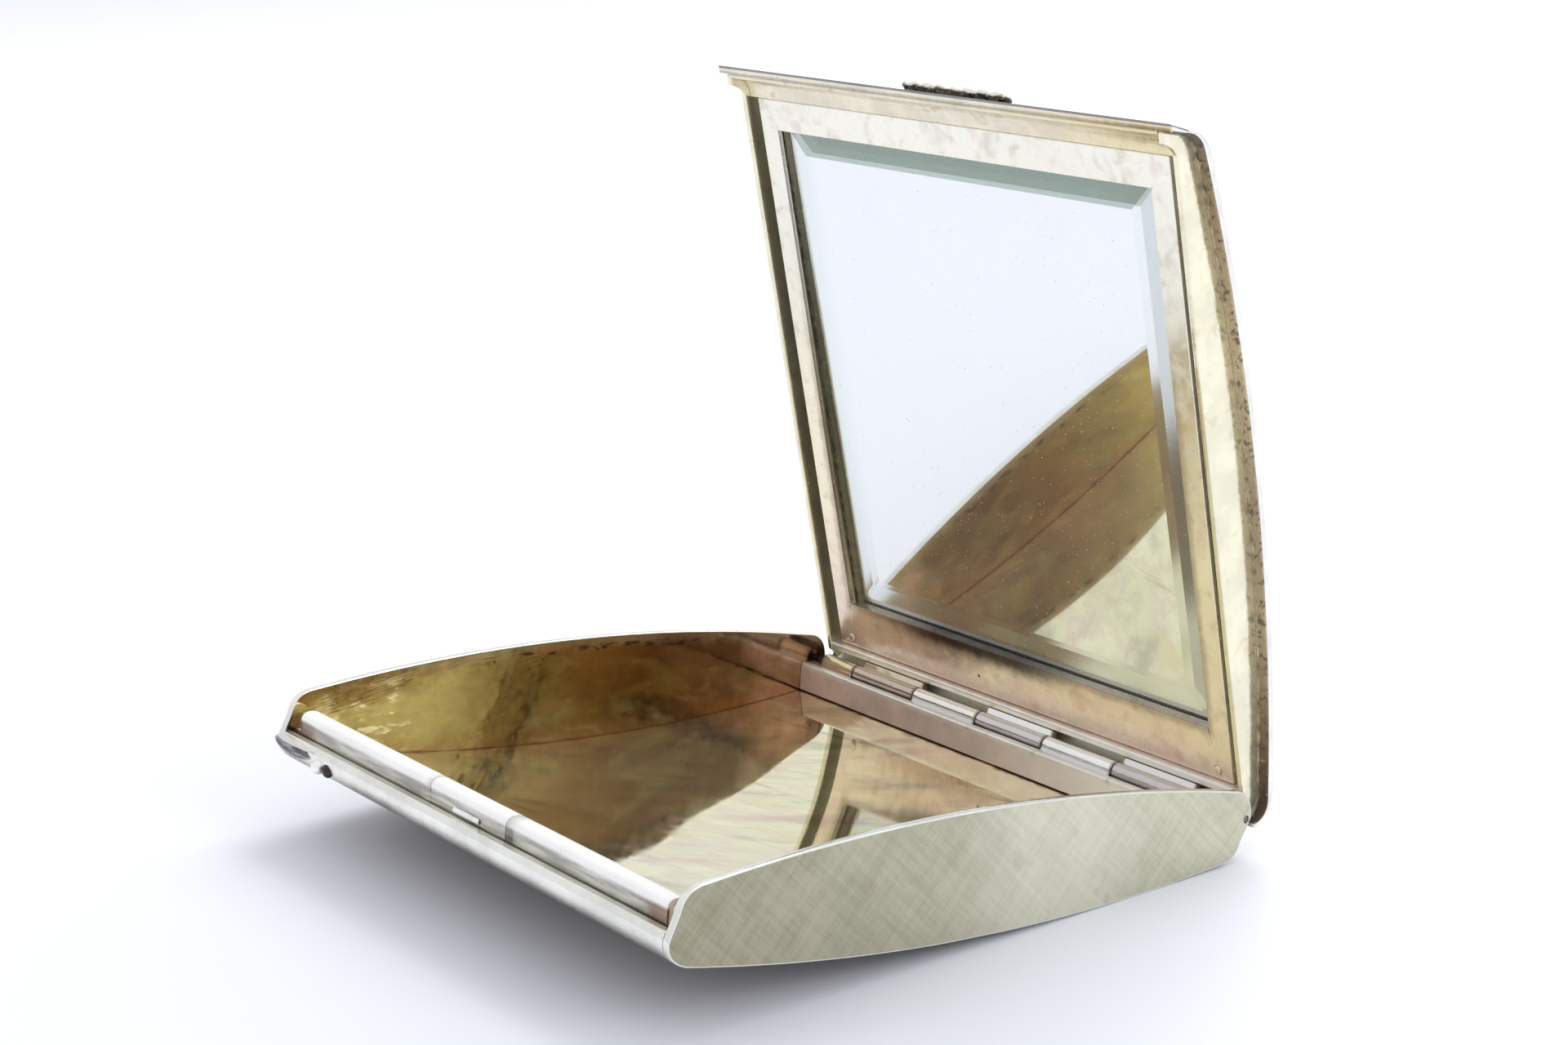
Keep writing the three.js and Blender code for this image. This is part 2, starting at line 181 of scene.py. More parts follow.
def rounded(outline, radius, hole=False, steps=5):
    """The outline as (u, v, finish) points with rounded corners, anticlockwise, or clockwise for a hole."""
    pts = outline.closed()
    if (signed_area(pts) < 0) != hole:
        finishes = [p[3] for p in pts]
        pts = [(*p[:3], finishes[i - 1]) for i, p in enumerate(pts)][::-1]
    n = len(pts)
    flat = [Vector(p[:2]) for p in pts]
    along = [0.0]
    for i in range(n):
        along.append(along[-1] + (flat[(i + 1) % n] - flat[i]).length)
    total = along[-1]

    def at(s):
        s %= total
        i = min(bisect.bisect_right(along, s) - 1, n - 1)
        return flat[i].lerp(flat[(i + 1) % n], (s - along[i]) / (along[i + 1] - along[i]))

    def apart(i, j):
        gap = abs(along[i] - along[j])
        return min(gap, total - gap)

    corners = []
    for i in range(n):
        a, b = flat[i] - flat[i - 1], flat[(i + 1) % n] - flat[i]
        turn = abs(a.angle_signed(b))
        r = radius if pts[i][2] is None else pts[i][2]
        if turn > SHARPEST_SMOOTH_TURN and r > 0:
            corners.append([i, r * math.tan(min(turn, 2.2) / 2)])
    for k, corner in enumerate(corners):
        for other in (corners[k - 1], corners[(k + 1) % len(corners)]):
            if other is not corner:
                corner[1] = min(corner[1], ROOM * apart(other[0], corner[0]))
    cut = dict(corners)
    out = []
    for i in range(n):
        if i in cut:
            t = cut[i]
            a, b = at(along[i] - t), at(along[i] + t)
            for k in range(steps + 1):
                w = k / steps
                p = a.lerp(flat[i], w).lerp(flat[i].lerp(b, w), w)
                out.append((p.x, p.y, pts[i - 1][3] if k < steps / 2 else pts[i][3]))
        elif all(apart(i, c) > t * 1.02 for c, t in corners):
            out.append((flat[i].x, flat[i].y, pts[i][3]))
    return out


def crossing(p, along_p, q, along_q):
    """Where two lines through p and q meet, or halfway between p and q if they are nearly parallel."""
    lean = along_p.cross(along_q)
    if abs(lean) < 0.05:
        return (p + q) / 2
    return p + along_p * ((q - p).cross(along_q) / lean)


def inset(loop, distance):
    """The loop moved into the material by the distance. Corners tighter than it close up to a point."""
    was = [Vector(p[:2]) for p in loop]
    if distance <= 0:
        return [(p.x, p.y) for p in was]
    n = len(loop)
    runs = [(was[(i + 1) % n] - was[i]).normalized() for i in range(n)]
    out = []
    for i in range(n):
        a, b = runs[i - 1], runs[i]
        side = Vector((-a.y - b.y, a.x + b.x))
        side = side.normalized() if side.length > 1e-6 else Vector((-a.y, a.x))
        lean = max(0.6, side.dot(Vector((-a.y, a.x))))
        out.append(was[i] + side * (distance / lean))
    for _ in range(6):
        turned = [(out[(i + 1) % n] - out[i]).dot(runs[i]) < -1e-9 for i in range(n)]
        if not any(turned) or all(turned):
            break
        start = next(i for i in range(n) if turned[i] and not turned[i - 1])
        i = start
        while i < start + n:
            if not turned[i % n]:
                i += 1
                continue
            j = i
            while turned[j % n]:
                j += 1
            before, after = out[(i - 1) % n], out[(j + 1) % n]
            meet = crossing(before, runs[(i - 1) % n], after, runs[j % n])
            for k in range(i, j + 1):
                out[k % n] = meet
            i = j + 1
    return [(p.x, p.y) for p in out]


# ---- meshes


def add(name, data):
    obj = bpy.data.objects.new(name, data)
    bpy.context.scene.collection.objects.link(obj)
    return obj


def new_object(name, bm):
    for v in bm.verts:
        v.co *= MM
    bmesh.ops.recalc_face_normals(bm, faces=bm.faces)
    mesh = bpy.data.meshes.new(name)
    for face in bm.faces:
        face.smooth = True
    bm.to_mesh(mesh)
    bm.free()
    return add(name, mesh)


def skirt(bm, a, b):
    """The faces between two closed rows of vertices."""
    n = len(a)
    return [bm.faces.new((a[i], a[(i + 1) % n], b[(i + 1) % n], b[i])) for i in range(n)]


HOLE_EDGE = 0.03
HOLE_RING = 0.02
THINNEST_BAND = 0.02


def prism(
    name, outline, lo, hi, axis="X", edge=0.1, corner=None, holes=(), cuts=1, caps=(0, 0), shift=None,
    band=0.45, ring=0,
):
    """A section pulled from lo to hi, with rounded ends. Caps are the finishes of its two flat ends.

    The attribute "rim" is 1 on the rounded ends and falls to 0 a little way inside them."""
    corner = edge if corner is None else corner
    loops = [rounded(outline, corner)] + [rounded(h, corner, hole=True) for h in holes]
    edge = min(edge, ROOM * (hi - lo))
    band = min(band, ROOM * (hi - lo) - edge) if edge else 0
    turns = [math.radians(a) for a in (90, 60, 30, 0)] if edge else [0]
    stations = [(lo + edge * (1 - math.sin(a)), edge * (1 - math.cos(a)), 1.0) for a in turns]
    margin = edge + band if band > THINNEST_BAND else edge
    steps = range(cuts + 1) if band > THINNEST_BAND else range(1, cuts)
    middle = [(lo + margin + (hi - lo - 2 * margin) * i / cuts, 0, 0.0) for i in steps]
    high = [(hi + lo - w, d, rim) for w, d, rim in reversed(stations)]
    stations = stations + middle + high
    bm = bmesh.new()
    rim_layer = bm.verts.layers.float.new("rim")

    def vertex(u, v, w):
        return bm.verts.new((w, u, v) if axis == "X" else (u, v, w))

    cap_rims = ([], [])
    for number, loop in enumerate(loops):
        slope = 1.0 if number == 0 else min(1.0, HOLE_EDGE / max(edge, HOLE_EDGE))
        rows = []
        for w, d, rim in stations:
            row = []
            for u, v in inset(loop, d * slope):
                vert = vertex(u, v, w)
                vert[rim_layer] = rim
                row.append(vert)
            rows.append(row)
        for a, b in zip(rows, rows[1:]):
            for face, point in zip(skirt(bm, a, b), loop):
                face.material_index = point[2]
        for side, row, w in ((0, rows[0], lo), (1, rows[-1], hi)):
            if ring:
                reach = HOLE_EDGE + HOLE_RING if number else edge + ring
                inner = [vertex(u, v, w) for u, v in inset(loop, reach)]
                for face in skirt(bm, row, inner):
                    face.material_index = caps[side]
                row = inner
            cap_rims[side].append(row)
    for side, rims in enumerate(cap_rims):
        if len(rims) == 1:
            bm.faces.new(rims[0]).material_index = caps[side]
            continue
        flat = [v for rim in rims for v in rim]
        for tri in tessellate_polygon([[v.co.copy() for v in rim] for rim in rims]):
            bm.faces.new([flat[i] for i in tri]).material_index = caps[side]
    bmesh.ops.remove_doubles(bm, verts=bm.verts, dist=0.0005)
    if shift:
        for v in bm.verts:
            v.co += Vector(shift(v.co))
    return new_object(name, bm)


def steady_normals(obj):
    """Large faces keep their own direction, so that flat runs stay flat beside rounded edges."""
    weighted = obj.modifiers.new("steady normals", "WEIGHTED_NORMAL")
    weighted.mode = "FACE_AREA"
    weighted.weight = 60
    weighted.keep_sharp = True


def bake(obj):
    """Applies the modifiers of obj to its mesh."""
    bpy.context.view_layer.update()
    made = bpy.data.meshes.new_from_object(obj.evaluated_get(bpy.context.evaluated_depsgraph_get()))
    obj.modifiers.clear()
    obj.data = made


def subtract(obj, cutter):
    """Cuts the cutter out of obj and removes it."""
    cut = obj.modifiers.new("cut", "BOOLEAN")
    cut.operation = "DIFFERENCE"
    cut.solver = "EXACT"
    cut.object = cutter
    bake(obj)
    bpy.data.objects.remove(cutter)


def absorb(obj, other):
    """Adds the other object's mesh to obj and removes the other object."""
    bm = bmesh.new()
    bm.from_mesh(obj.data)
    bm.from_mesh(other.data)
    bm.to_mesh(obj.data)
    bm.free()
    bpy.data.objects.remove(other)


def box_object(name, lo, hi):
    bm = bmesh.new()
    bmesh.ops.create_cube(bm, size=1)
    for v in bm.verts:
        v.co = Vector([a + (b - a) * (c + 0.5) for a, b, c in zip(lo, hi, v.co)])
    return new_object(name, bm)


DENT = 0.05


def dents(half_x, half_y, lowest, highest, size, seed):
    """A shift that dents a skin slightly between two heights, most of all away from its joints."""

    def shift(co):
        if not lowest < co.z <= highest:
            return (0, 0, 0)
        ease = max(0.0, 1 - abs(co.y / half_y) ** 6) * max(0.0, 1 - abs(co.x / half_x) ** 8)
        return (0, 0, ease * DENT * noise.noise(Vector((co.x / size, co.y / size, seed))))

    return shift


# ---- materials


class Nodes:
    """Fills a node tree. Numbers, colours and sockets can all be passed as inputs."""

    def __init__(self, owner):
        owner.use_nodes = True
        self.tree = owner.node_tree
        self.tree.nodes.clear()

    def put(self, socket, value):
        if isinstance(value, bpy.types.NodeSocket):
            self.tree.links.new(value, socket)
        elif isinstance(value, tuple) and socket.type == "RGBA":
            socket.default_value = (*value, 1)
        else:
            socket.default_value = value

    def make(self, kind, *values, **settings):
        node = self.tree.nodes.new(kind)
        for key, value in settings.items():
            setattr(node, key, value)
        for socket, value in zip(node.inputs, values):
            if value is not None:
                self.put(socket, value)
        return node

    def stops(self, value, stops, interpolation="LINEAR"):
        """A colour ramp over any range: stops are (value, colour)."""
        low, high = stops[0][0], stops[-1][0]
        ramp = self.make("ShaderNodeValToRGB", self.make("ShaderNodeMapRange", value, low, high).outputs[0])
        ramp.color_ramp.interpolation = interpolation
        points = ramp.color_ramp.elements
        points[0].color = (*stops[0][1], 1)
        points[1].color = (*stops[-1][1], 1)
        for at, colour in stops[1:-1]:
            points.new((at - low) / (high - low)).color = (*colour, 1)
        return ramp.outputs[0]


class Shade(Nodes):
    """One material. Its point is in millimetres: the attribute "lie", or the mesh's own if not lying."""

    def __init__(self, name, lying=True):
        self.material = bpy.data.materials.new(name)
        self.colour = (0.8, 0.8, 0.8)
        super().__init__(self.material)
        self.bsdf = self.make("ShaderNodeBsdfPrincipled")
        self.make("ShaderNodeOutputMaterial", self.bsdf.outputs[0])
        if lying:
            self.point = self.make("ShaderNodeAttribute", attribute_name="lie").outputs["Vector"]
        else:
            self.point = self.make("ShaderNodeTexCoord").outputs["Object"]
            self.point = self.scaled(1 / MM, 1 / MM, 1 / MM)
        self.x, self.y, self.z = self.make("ShaderNodeSeparateXYZ", self.point).outputs

    def vector_math(self, operation, a, b):
        return self.make("ShaderNodeVectorMath", a, b, operation=operation).outputs[0]

    def math(self, operation, a, b=None):
        return self.make("ShaderNodeMath", a, b, operation=operation).outputs[0]

    def fold(self, operation, values):
        out = values[0]
        for value in values[1:]:
            out = self.math(operation, out, value)
        return out

    def plus(self, *values):
        return self.fold("ADD", values)

    def minus(self, a, b):
        return self.math("SUBTRACT", a, b)

    def times(self, *values):
        return self.fold("MULTIPLY", values)

    def most(self, *values):
        return self.fold("MAXIMUM", values)

    def absolute(self, value):
        return self.math("ABSOLUTE", value)

    def spread(self, value, low, high, to_low=0.0, to_high=1.0):
        """Value carried smoothly from low..high to to_low..to_high."""
        return self.make(
            "ShaderNodeMapRange", value, low, high, to_low, to_high, interpolation_type="SMOOTHSTEP"
        ).outputs[0]

    def fade(self, value, low, high):
        """1 below low and 0 above high."""
        return self.spread(value, low, high, 1.0, 0.0)

    def near(self, value, centre, reach, soft=0.5):
        """1 close to the centre and 0 beyond the reach, of which the soft share is a gentle slope."""
        return self.fade(self.absolute(self.minus(value, centre)), reach * (1 - soft), reach)

    def mix(self, factor, a, b):
        node = self.make("ShaderNodeMix", factor, data_type="RGBA")
        self.put(node.inputs[6], a)
        self.put(node.inputs[7], b)
        return node.outputs[2]

    def lay(self, tint, *shares):
        """Lays a tint over the colour so far, as strongly as the product of the shares."""
        self.colour = self.mix(self.times(*shares), self.colour, tint)

    def vector(self, x, y, z=0.0):
        return self.make("ShaderNodeCombineXYZ", x, y, z).outputs[0]

    def scaled(self, *scales):
        """The point with its coordinates scaled, which draws a noise out where the scale is small."""
        return self.vector_math("MULTIPLY", self.point, scales)

    def noise(self, scale, detail=3.0, rough=0.5, at=None, warp=0.0):
        node = self.make("ShaderNodeTexNoise", self.point if at is None else at)
        settings = {"Scale": scale, "Detail": detail, "Roughness": rough, "Distortion": warp}
        for key, value in settings.items():
            node.inputs[key].default_value = value
        return node.outputs[0]

    def cloud(self, scale, detail, *span):
        """A noise, spread over a span."""
        return self.spread(self.noise(scale, detail, 0.6), *span)

    def waver(self, scale, amount, detail=4):
        """A noise about zero that moves a border to and fro."""
        return self.times(self.minus(self.noise(scale, detail, 0.6), 0.5), amount)

    def blot(self, scale, low, high, detail=3.0, seed=0.0, at=None):
        """Soft patches: 0 below low and 1 above high of a noise."""
        at = self.point if at is None else at
        moved = self.vector_math("ADD", at, (seed, seed * 0.7, -seed))
        return self.spread(self.noise(scale, detail, 0.55, moved, 0.6), low, high)

    def streaks(self, u, v, degrees, along, across, seed=0.0, detail=2.0):
        """A noise drawn out along a direction in the u-v plane, in cycles per millimetre."""
        c, s = math.cos(math.radians(degrees)), math.sin(math.radians(degrees))
        p = self.plus(self.times(u, c * along), self.times(v, s * along))
        q = self.plus(self.times(u, -s * across), self.times(v, c * across))
        return self.noise(1.0, detail, 0.6, self.vector(p, q, seed))

    def pointiness(self, low, high):
        return self.spread(self.make("ShaderNodeNewGeometry").outputs["Pointiness"], low, high)

    def rim(self, low, high):
        """1 on the rounded ends of a prism."""
        return self.spread(self.make("ShaderNodeAttribute", attribute_name="rim").outputs["Fac"], low, high)

    def bump(self, height, distance, strength=1.0, normal=None):
        node = self.make("ShaderNodeBump", strength, distance * MM)
        self.put(node.inputs["Height"], height)
        if normal is not None:
            self.put(node.inputs["Normal"], normal)
        return node.outputs[0]

    def finish(self, roughness, normal=None, metallic=0.85):
        looks = {"Base Color": self.colour, "Roughness": roughness, "Metallic": metallic, "Normal": normal}
        for key, value in looks.items():
            if value is not None:
                self.put(self.bsdf.inputs[key], value)
        return self.material


def hatched_silver(name, plane, light, dark, stained=0.25, fade=False):
    """Flat silver rubbed in crossing strokes and brighter on its rims. If it fades, its front is duller."""
    s = Shade(name)
    u, v = {"yz": (s.y, s.z), "xy": (s.x, s.y)}[plane]
    strokes = [
        (52, 0.07, 1.1, 1.3), (-38, 0.09, 1.5, 7.1), (47, 0.14, 4.6, 3.9),
        (-44, 0.16, 5.2, 11.7), (64, 0.2, 8.0, 17.5), (-57, 0.22, 9.0, 23.9),
    ]
    fields = [s.streaks(u, v, *stroke) for stroke in strokes]
    broad = s.plus(fields[0], fields[1])
    middle = s.plus(fields[2], fields[3])
    fine = s.plus(fields[4], fields[5])
    hatch = s.plus(s.times(broad, 0.5), s.times(middle, 0.35), s.times(fine, 0.15))
    cloud = s.cloud(0.16, 4, 0.36, 0.66)
    tone = s.plus(s.times(s.spread(hatch, 0.8, 1.2), 0.62), s.times(cloud, 0.38))
    s.colour = s.mix(tone, dark, light)
    if fade:
        backward = s.spread(s.plus(s.y, s.waver(0.07, 40.0, 3)), -34, 26)
        dull = s.mix(0.5, s.colour, (0.32, 0.285, 0.19))
        pale = s.mix(0.4, s.colour, (0.72, 0.71, 0.56))
        s.colour = s.mix(backward, dull, pale)
        s.lay((0.86, 0.85, 0.7), s.near(s.y, 10, 16, 0.8), 0.35)
    s.lay((0.3, 0.26, 0.2), s.blot(0.33, 0.56, 0.74, 4, 5.0), stained)
    rim = s.rim(0.15, 1.0)
    s.lay((0.86, 0.85, 0.78), rim, 0.85)
    rough = s.minus(s.spread(hatch, 0.8, 1.2, 0.5, 0.36), s.times(rim, 0.16))
    height = s.plus(s.times(middle, 0.6), s.times(fine, 0.4))
    return s.finish(rough, s.bump(height, 0.05, 0.55))


def polished_silver(name, colour, rough=0.16, stain=(0.45, 0.33, 0.24), stained=0.3, wavy=0.02):
    """Bright silver with faint rubbing marks, thin stains and a slight ripple."""
    s = Shade(name)
    rub = s.noise(0.9, 3, 0.6, s.scaled(0.25, 3.0, 3.0))
    darker = tuple(0.86 * c for c in colour)
    s.colour = s.mix(s.cloud(0.22, 4, 0.35, 0.68), darker, colour)
    s.lay(stain, s.blot(0.45, 0.58, 0.7, 4, 9.0), stained)
    s.lay((0.1, 0.08, 0.06), s.blot(2.6, 0.68, 0.74, 2, 3.0), 0.5 * stained)
    roughness = s.spread(rub, 0.3, 0.7, rough * 0.75, rough * 1.4)
    ripple = s.bump(s.noise(0.35, 2, 0.5), wavy * 8, 0.5)
    return s, roughness, s.bump(rub, 0.012, 0.6, ripple)


def simple_polished(name, colour, metallic=0.85, **settings):
    s, roughness, normal = polished_silver(name, colour, **settings)
    return s.finish(roughness, normal, metallic)


BOW_SHARE = 1 / (2 * BOW_RADIUS)


def cove_metal(name):
    """The inside of the lid's skin and the cove of its nose: cream, and yellower to the right."""
    s, roughness, normal = polished_silver(
        name, (0.87, 0.8, 0.63), rough=0.24, stain=(0.55, 0.45, 0.28), stained=0.6
    )
    s.lay((0.86, 0.73, 0.43), s.spread(s.x, 8, 32, 0.0, 0.75))
    return s.finish(roughness, normal)


def toned_wall(name):
    """The gilt inside of a side wall: yellow in front and brown towards the hinge, partly the gilt's tone and
    partly a painted reflection of the lid, with painted glints near the front, stained along its joints.
    """
    s = Shade(name)
    # Yellow to brown along the wall: partly the gilt's own tone, partly a painted reflection of the lid above
    # it.
    tones = [
        (-38, (0.82, 0.68, 0.31)), (-27, (0.66, 0.53, 0.21)), (-16, (0.44, 0.33, 0.13)),
        (-8, (0.3, 0.2, 0.07)), (0, (0.22, 0.115, 0.03)), (13, (0.14, 0.065, 0.02)),
        (23, (0.2, 0.11, 0.055)), (31, (0.58, 0.38, 0.29)), (38, (0.08, 0.04, 0.025)),
    ]
    s.colour = s.stops(s.plus(s.y, s.waver(0.09, 26.0)), tones)
    s.lay((0.6, 0.37, 0.11), s.spread(s.x, -1.0, 1.0), 0.8)
    drawn = s.scaled(1, 0.35, 1.0)
    clouds = (
        ((0.24, 0.19, 0.06), 0.5, (0.3, 0.48, 0.68, 5, 2.0)),
        ((0.34, 0.17, 0.06), 0.4, (0.24, 0.52, 0.7, 5, 13.0)),
        ((0.42, 0.31, 0.16), 0.3, (0.5, 0.54, 0.72, 4, 31.0)),
    )
    for tint, share, patches in clouds:
        s.lay(tint, s.blot(*patches, drawn), share)
    # Painted glints: bright yellow patches near the front of the wall.
    s.lay((0.99, 0.92, 0.56), s.blot(0.9, 0.52, 0.64, 4, 57.0, drawn), s.near(s.y, -29, 9, 0.6), 0.9)
    s.lay((0.13, 0.06, 0.04), s.fade(s.y, -36.4, -35.2), s.spread(s.z, 1.0, 2.4, 0.85, 0.0))
    sag = s.times(s.y, s.y, BOW_SHARE)
    below_rim = s.minus(s.minus(CROWN, sag), s.z)
    above_floor = s.minus(s.plus(s.z, CROWN - SKIN_SHEET), sag)
    ragged = s.waver(0.6, 1.6)
    s.lay((0.42, 0.33, 0.22), s.spread(s.plus(below_rim, ragged), 0.4, 1.8, 0.5, 0.0))
    flecks = s.times(s.near(below_rim, 1.25, 0.5), s.blot(1.5, 0.5, 0.6, 2, 4.0, drawn))
    s.lay((0.05, 0.03, 0.02), flecks, s.near(s.y, 3, 22, 0.4), 0.85)
    s.lay((0.36, 0.18, 0.08), s.spread(s.plus(above_floor, ragged), 0.3, 2.4, 0.4, 0.0))
    broken = s.spread(s.noise(0.5, 3, 0.6, drawn), 0.38, 0.6, 0.15, 0.75)
    seam = s.fade(s.plus(above_floor, s.times(ragged, 0.25)), 0.05, 0.35)
    s.lay((0.26, 0.11, 0.035), seam, broken)
    rough = s.cloud(0.7, 4, 0.35, 0.68, 0.05, 0.14)
    grain = s.streaks(s.y, s.z, 12, 0.2, 4.0, 2.0)
    pits = s.blot(3.0, 0.66, 0.74, 2, 6.0)
    normal = s.bump(s.noise(0.22, 2, 0.5), 0.15, 0.4)
    normal = s.bump(s.minus(grain, s.times(pits, 0.8)), 0.006, 0.6, normal)
    return s.finish(rough, normal, 0.97)


def toned_floor(name):
    """The gilt lining of the tray: taupe and rose with gold and grey clouds, streaked by wiping."""
    s = Shade(name)
    tones = [
        (0.32, (0.72, 0.69, 0.45)), (0.44, (0.9, 0.87, 0.56)), (0.52, (0.86, 0.77, 0.56)),
        (0.6, (0.97, 0.93, 0.62)), (0.7, (0.82, 0.79, 0.6)),
    ]
    s.colour = s.stops(s.streaks(s.x, s.y, 35, 0.05, 0.13, 4.0, 5.0), tones)
    clouds = (
        ((0.84, 0.72, 0.38), (20, 0.05, 0.1, 9.0, 4.0), 0.5, 0.66, 0.6),
        ((0.46, 0.45, 0.31), (50, 0.06, 0.15, 21.0, 5.0), 0.52, 0.68, 0.6),
        ((0.74, 0.5, 0.46), (62, 0.05, 0.16, 33.0, 5.0), 0.54, 0.68, 0.5),
        ((0.34, 0.29, 0.21), (12, 0.04, 0.5, 47.0, 5.0), 0.58, 0.72, 0.5),
    )
    for tint, strokes, low, high, share in clouds:
        s.lay(tint, s.spread(s.streaks(s.x, s.y, *strokes), low, high), share)
    ragged = s.waver(0.5, 2.2)
    side = s.spread(s.plus(s.absolute(s.x), ragged), 35.2, 36.2, 0.0, 0.7)
    back = s.spread(s.plus(s.y, ragged), 33.7, 34.4)
    front = s.fade(s.minus(s.y, ragged), -36.0, -35.0)
    s.lay((0.22, 0.11, 0.05), s.most(side, back, front), 0.8)
    rough = s.cloud(0.35, 5, 0.35, 0.68, 0.02, 0.06)
    scratch = s.streaks(s.x, s.y, 35, 0.06, 5.0, 3.0, 1.0)
    pits = s.blot(1.6, 0.7, 0.76, 2, 8.0)
    return s.finish(rough, s.bump(s.minus(scratch, pits), 0.001, 0.5), 0.93)


def frame_silver(name):
    """The mirror frame: cream at its front, rosy brown towards the hinge, with painted shade beside the glass
    and a painted shadow on the rail by the hinge.
    """
    s = Shade(name)
    tones = [
        (-36, (0.98, 0.95, 0.84)), (-18, (0.9, 0.87, 0.74)), (0, (0.92, 0.86, 0.68)),
        (14, (0.98, 0.9, 0.66)), (27, (0.96, 0.83, 0.66)), (38, (0.92, 0.73, 0.64)),
    ]
    s.colour = s.stops(s.plus(s.y, s.waver(0.08, 24.0)), tones)
    s.lay((0.48, 0.42, 0.28), s.blot(0.35, 0.52, 0.7, 5, 17.0), 0.4)
    s.lay((0.78, 0.56, 0.5), s.blot(0.3, 0.54, 0.7, 5, 41.0), 0.35)
    window_centre = (WINDOW_FRONT + WINDOW_BACK) / 2
    from_side = s.minus(s.absolute(s.x), WINDOW_HALF)
    from_end = s.minus(s.absolute(s.minus(s.y, window_centre)), WINDOW_BACK - window_centre)
    ragged = s.waver(0.5, 1.4)
    # Painted shade on the frame beside the glass, stronger towards the hinge.
    painted_shade_beside_glass = s.fade(s.plus(s.most(from_side, from_end), ragged), 0.1, 1.2)
    s.lay((0.25, 0.19, 0.12), painted_shade_beside_glass, s.spread(s.y, -25, 10), 0.55)
    # A painted shadow on the rail between the window and the hinge, darkest around x = -7.
    behind = s.times(s.spread(s.plus(s.y, ragged), 29.7, 31.9, 0.97, 0.0), s.spread(s.y, 28.9, 29.2))
    s.lay((0.07, 0.045, 0.03), behind, s.near(s.x, -7, 21, 0.7))
    spot = s.make("ShaderNodeVectorMath", s.vector(s.x, s.y), (-7.3, 33.0, 0), operation="DISTANCE")
    s.lay((0.05, 0.03, 0.02), s.spread(spot.outputs["Value"], 0.12, 0.3, 0.9, 0.0))
    rough = s.cloud(0.6, 4, 0.35, 0.68, 0.14, 0.3)
    rub = s.streaks(s.x, s.y, 88, 0.08, 4.0, 6.0)
    normal = s.bump(rub, 0.01, 0.6, s.bump(s.noise(0.14, 2, 0.5), 0.25, 0.35))
    return s.finish(rough, normal, 0.7)


def edge_band(name):
    """The blackened strip of the lid's skin outside its walls, with bright gold patches that are partly metal
    where the dirt has rubbed off and partly painted glints.
    """
    s = Shade(name)
    tones = [
        (-39, (0.16, 0.14, 0.11)), (-28, (0.36, 0.27, 0.16)), (-12, (0.6, 0.49, 0.32)),
        (4, (0.42, 0.34, 0.23)), (18, (0.48, 0.39, 0.26)), (29, (0.18, 0.12, 0.07)),
        (38, (0.06, 0.04, 0.03)),
    ]
    s.colour = s.stops(s.plus(s.y, s.waver(0.12, 18.0)), tones)
    s.lay((0.07, 0.05, 0.035), s.blot(1.3, 0.5, 0.64, 4, 3.0), 0.75)
    # Painted glints, partly bright metal where the dirt has rubbed off.
    glint = s.blot(2.6, 0.6, 0.7, 3, 19.0)
    s.lay((0.66, 0.52, 0.3), glint, 0.7)
    clean = s.fade(s.plus(s.absolute(s.x), s.waver(0.8, 0.9)), 35.35, 35.7)
    s.lay((0.88, 0.82, 0.64), clean, 0.9)
    return s.finish(s.spread(glint, 0.0, 1.0, 0.42, 0.16), s.bump(s.noise(1.4, 4, 0.6), 0.06, 0.7), 0.5)


def bearer_silver(name, upper, lower, split):
    """A strip along the hinge: one colour above the height split and another, paler to the right, below."""
    s, roughness, normal = polished_silver(name, upper, rough=0.18, stained=0.45)
    low = s.fade(s.plus(s.z, s.waver(0.7, 0.5, 3)), split - 0.25, split + 0.25)
    cloud = s.cloud(0.3, 4, 0.35, 0.68)
    streaked = s.mix(cloud, lower, tuple(min(1.0, 1.2 * c) for c in lower))
    streaked = s.mix(s.spread(s.x, -14, 30, 0.0, 0.9), streaked, (0.98, 0.96, 0.93))
    s.lay(streaked, low)
    return s.finish(roughness, normal, s.spread(s.x, -14, 30, 0.5, 0.15))


def knuckle_silver(name):
    """The hinge barrels: golden at the left, bright in the middle and rosy at the right, partly the metal's
    tone and partly painted reflection, with painted shade on their lower halves.
    """
    s, roughness, normal = polished_silver(name, (0.8, 0.78, 0.74), rough=0.12, stained=0.2)
    last = (0.7, 0.57, 0.54)
    # Tints along the barrels: partly the metal's tone, partly painted reflection.
    tints = [
        (-36.0, (0.74, 0.62, 0.36)), (-28.5, (0.7, 0.58, 0.4)), (-17.1, (0.93, 0.9, 0.84)),
        (-5.7, (0.94, 0.91, 0.87)), (5.7, (0.95, 0.95, 0.94)), (17.1, (0.82, 0.77, 0.74)),
        (28.5, last), (36.0, last),
    ]
    s.lay(s.stops(s.x, tints, "CONSTANT"), 0.8)
    s.lay((0.16, 0.1, 0.06), s.rim(0.1, 0.9), 0.6)
    # Painted shade on the lower half of each barrel.
    s.lay((0.36, 0.32, 0.36), s.spread(s.z, 0.3, 0.9, 0.45, 0.0))
    return s.finish(roughness, normal)


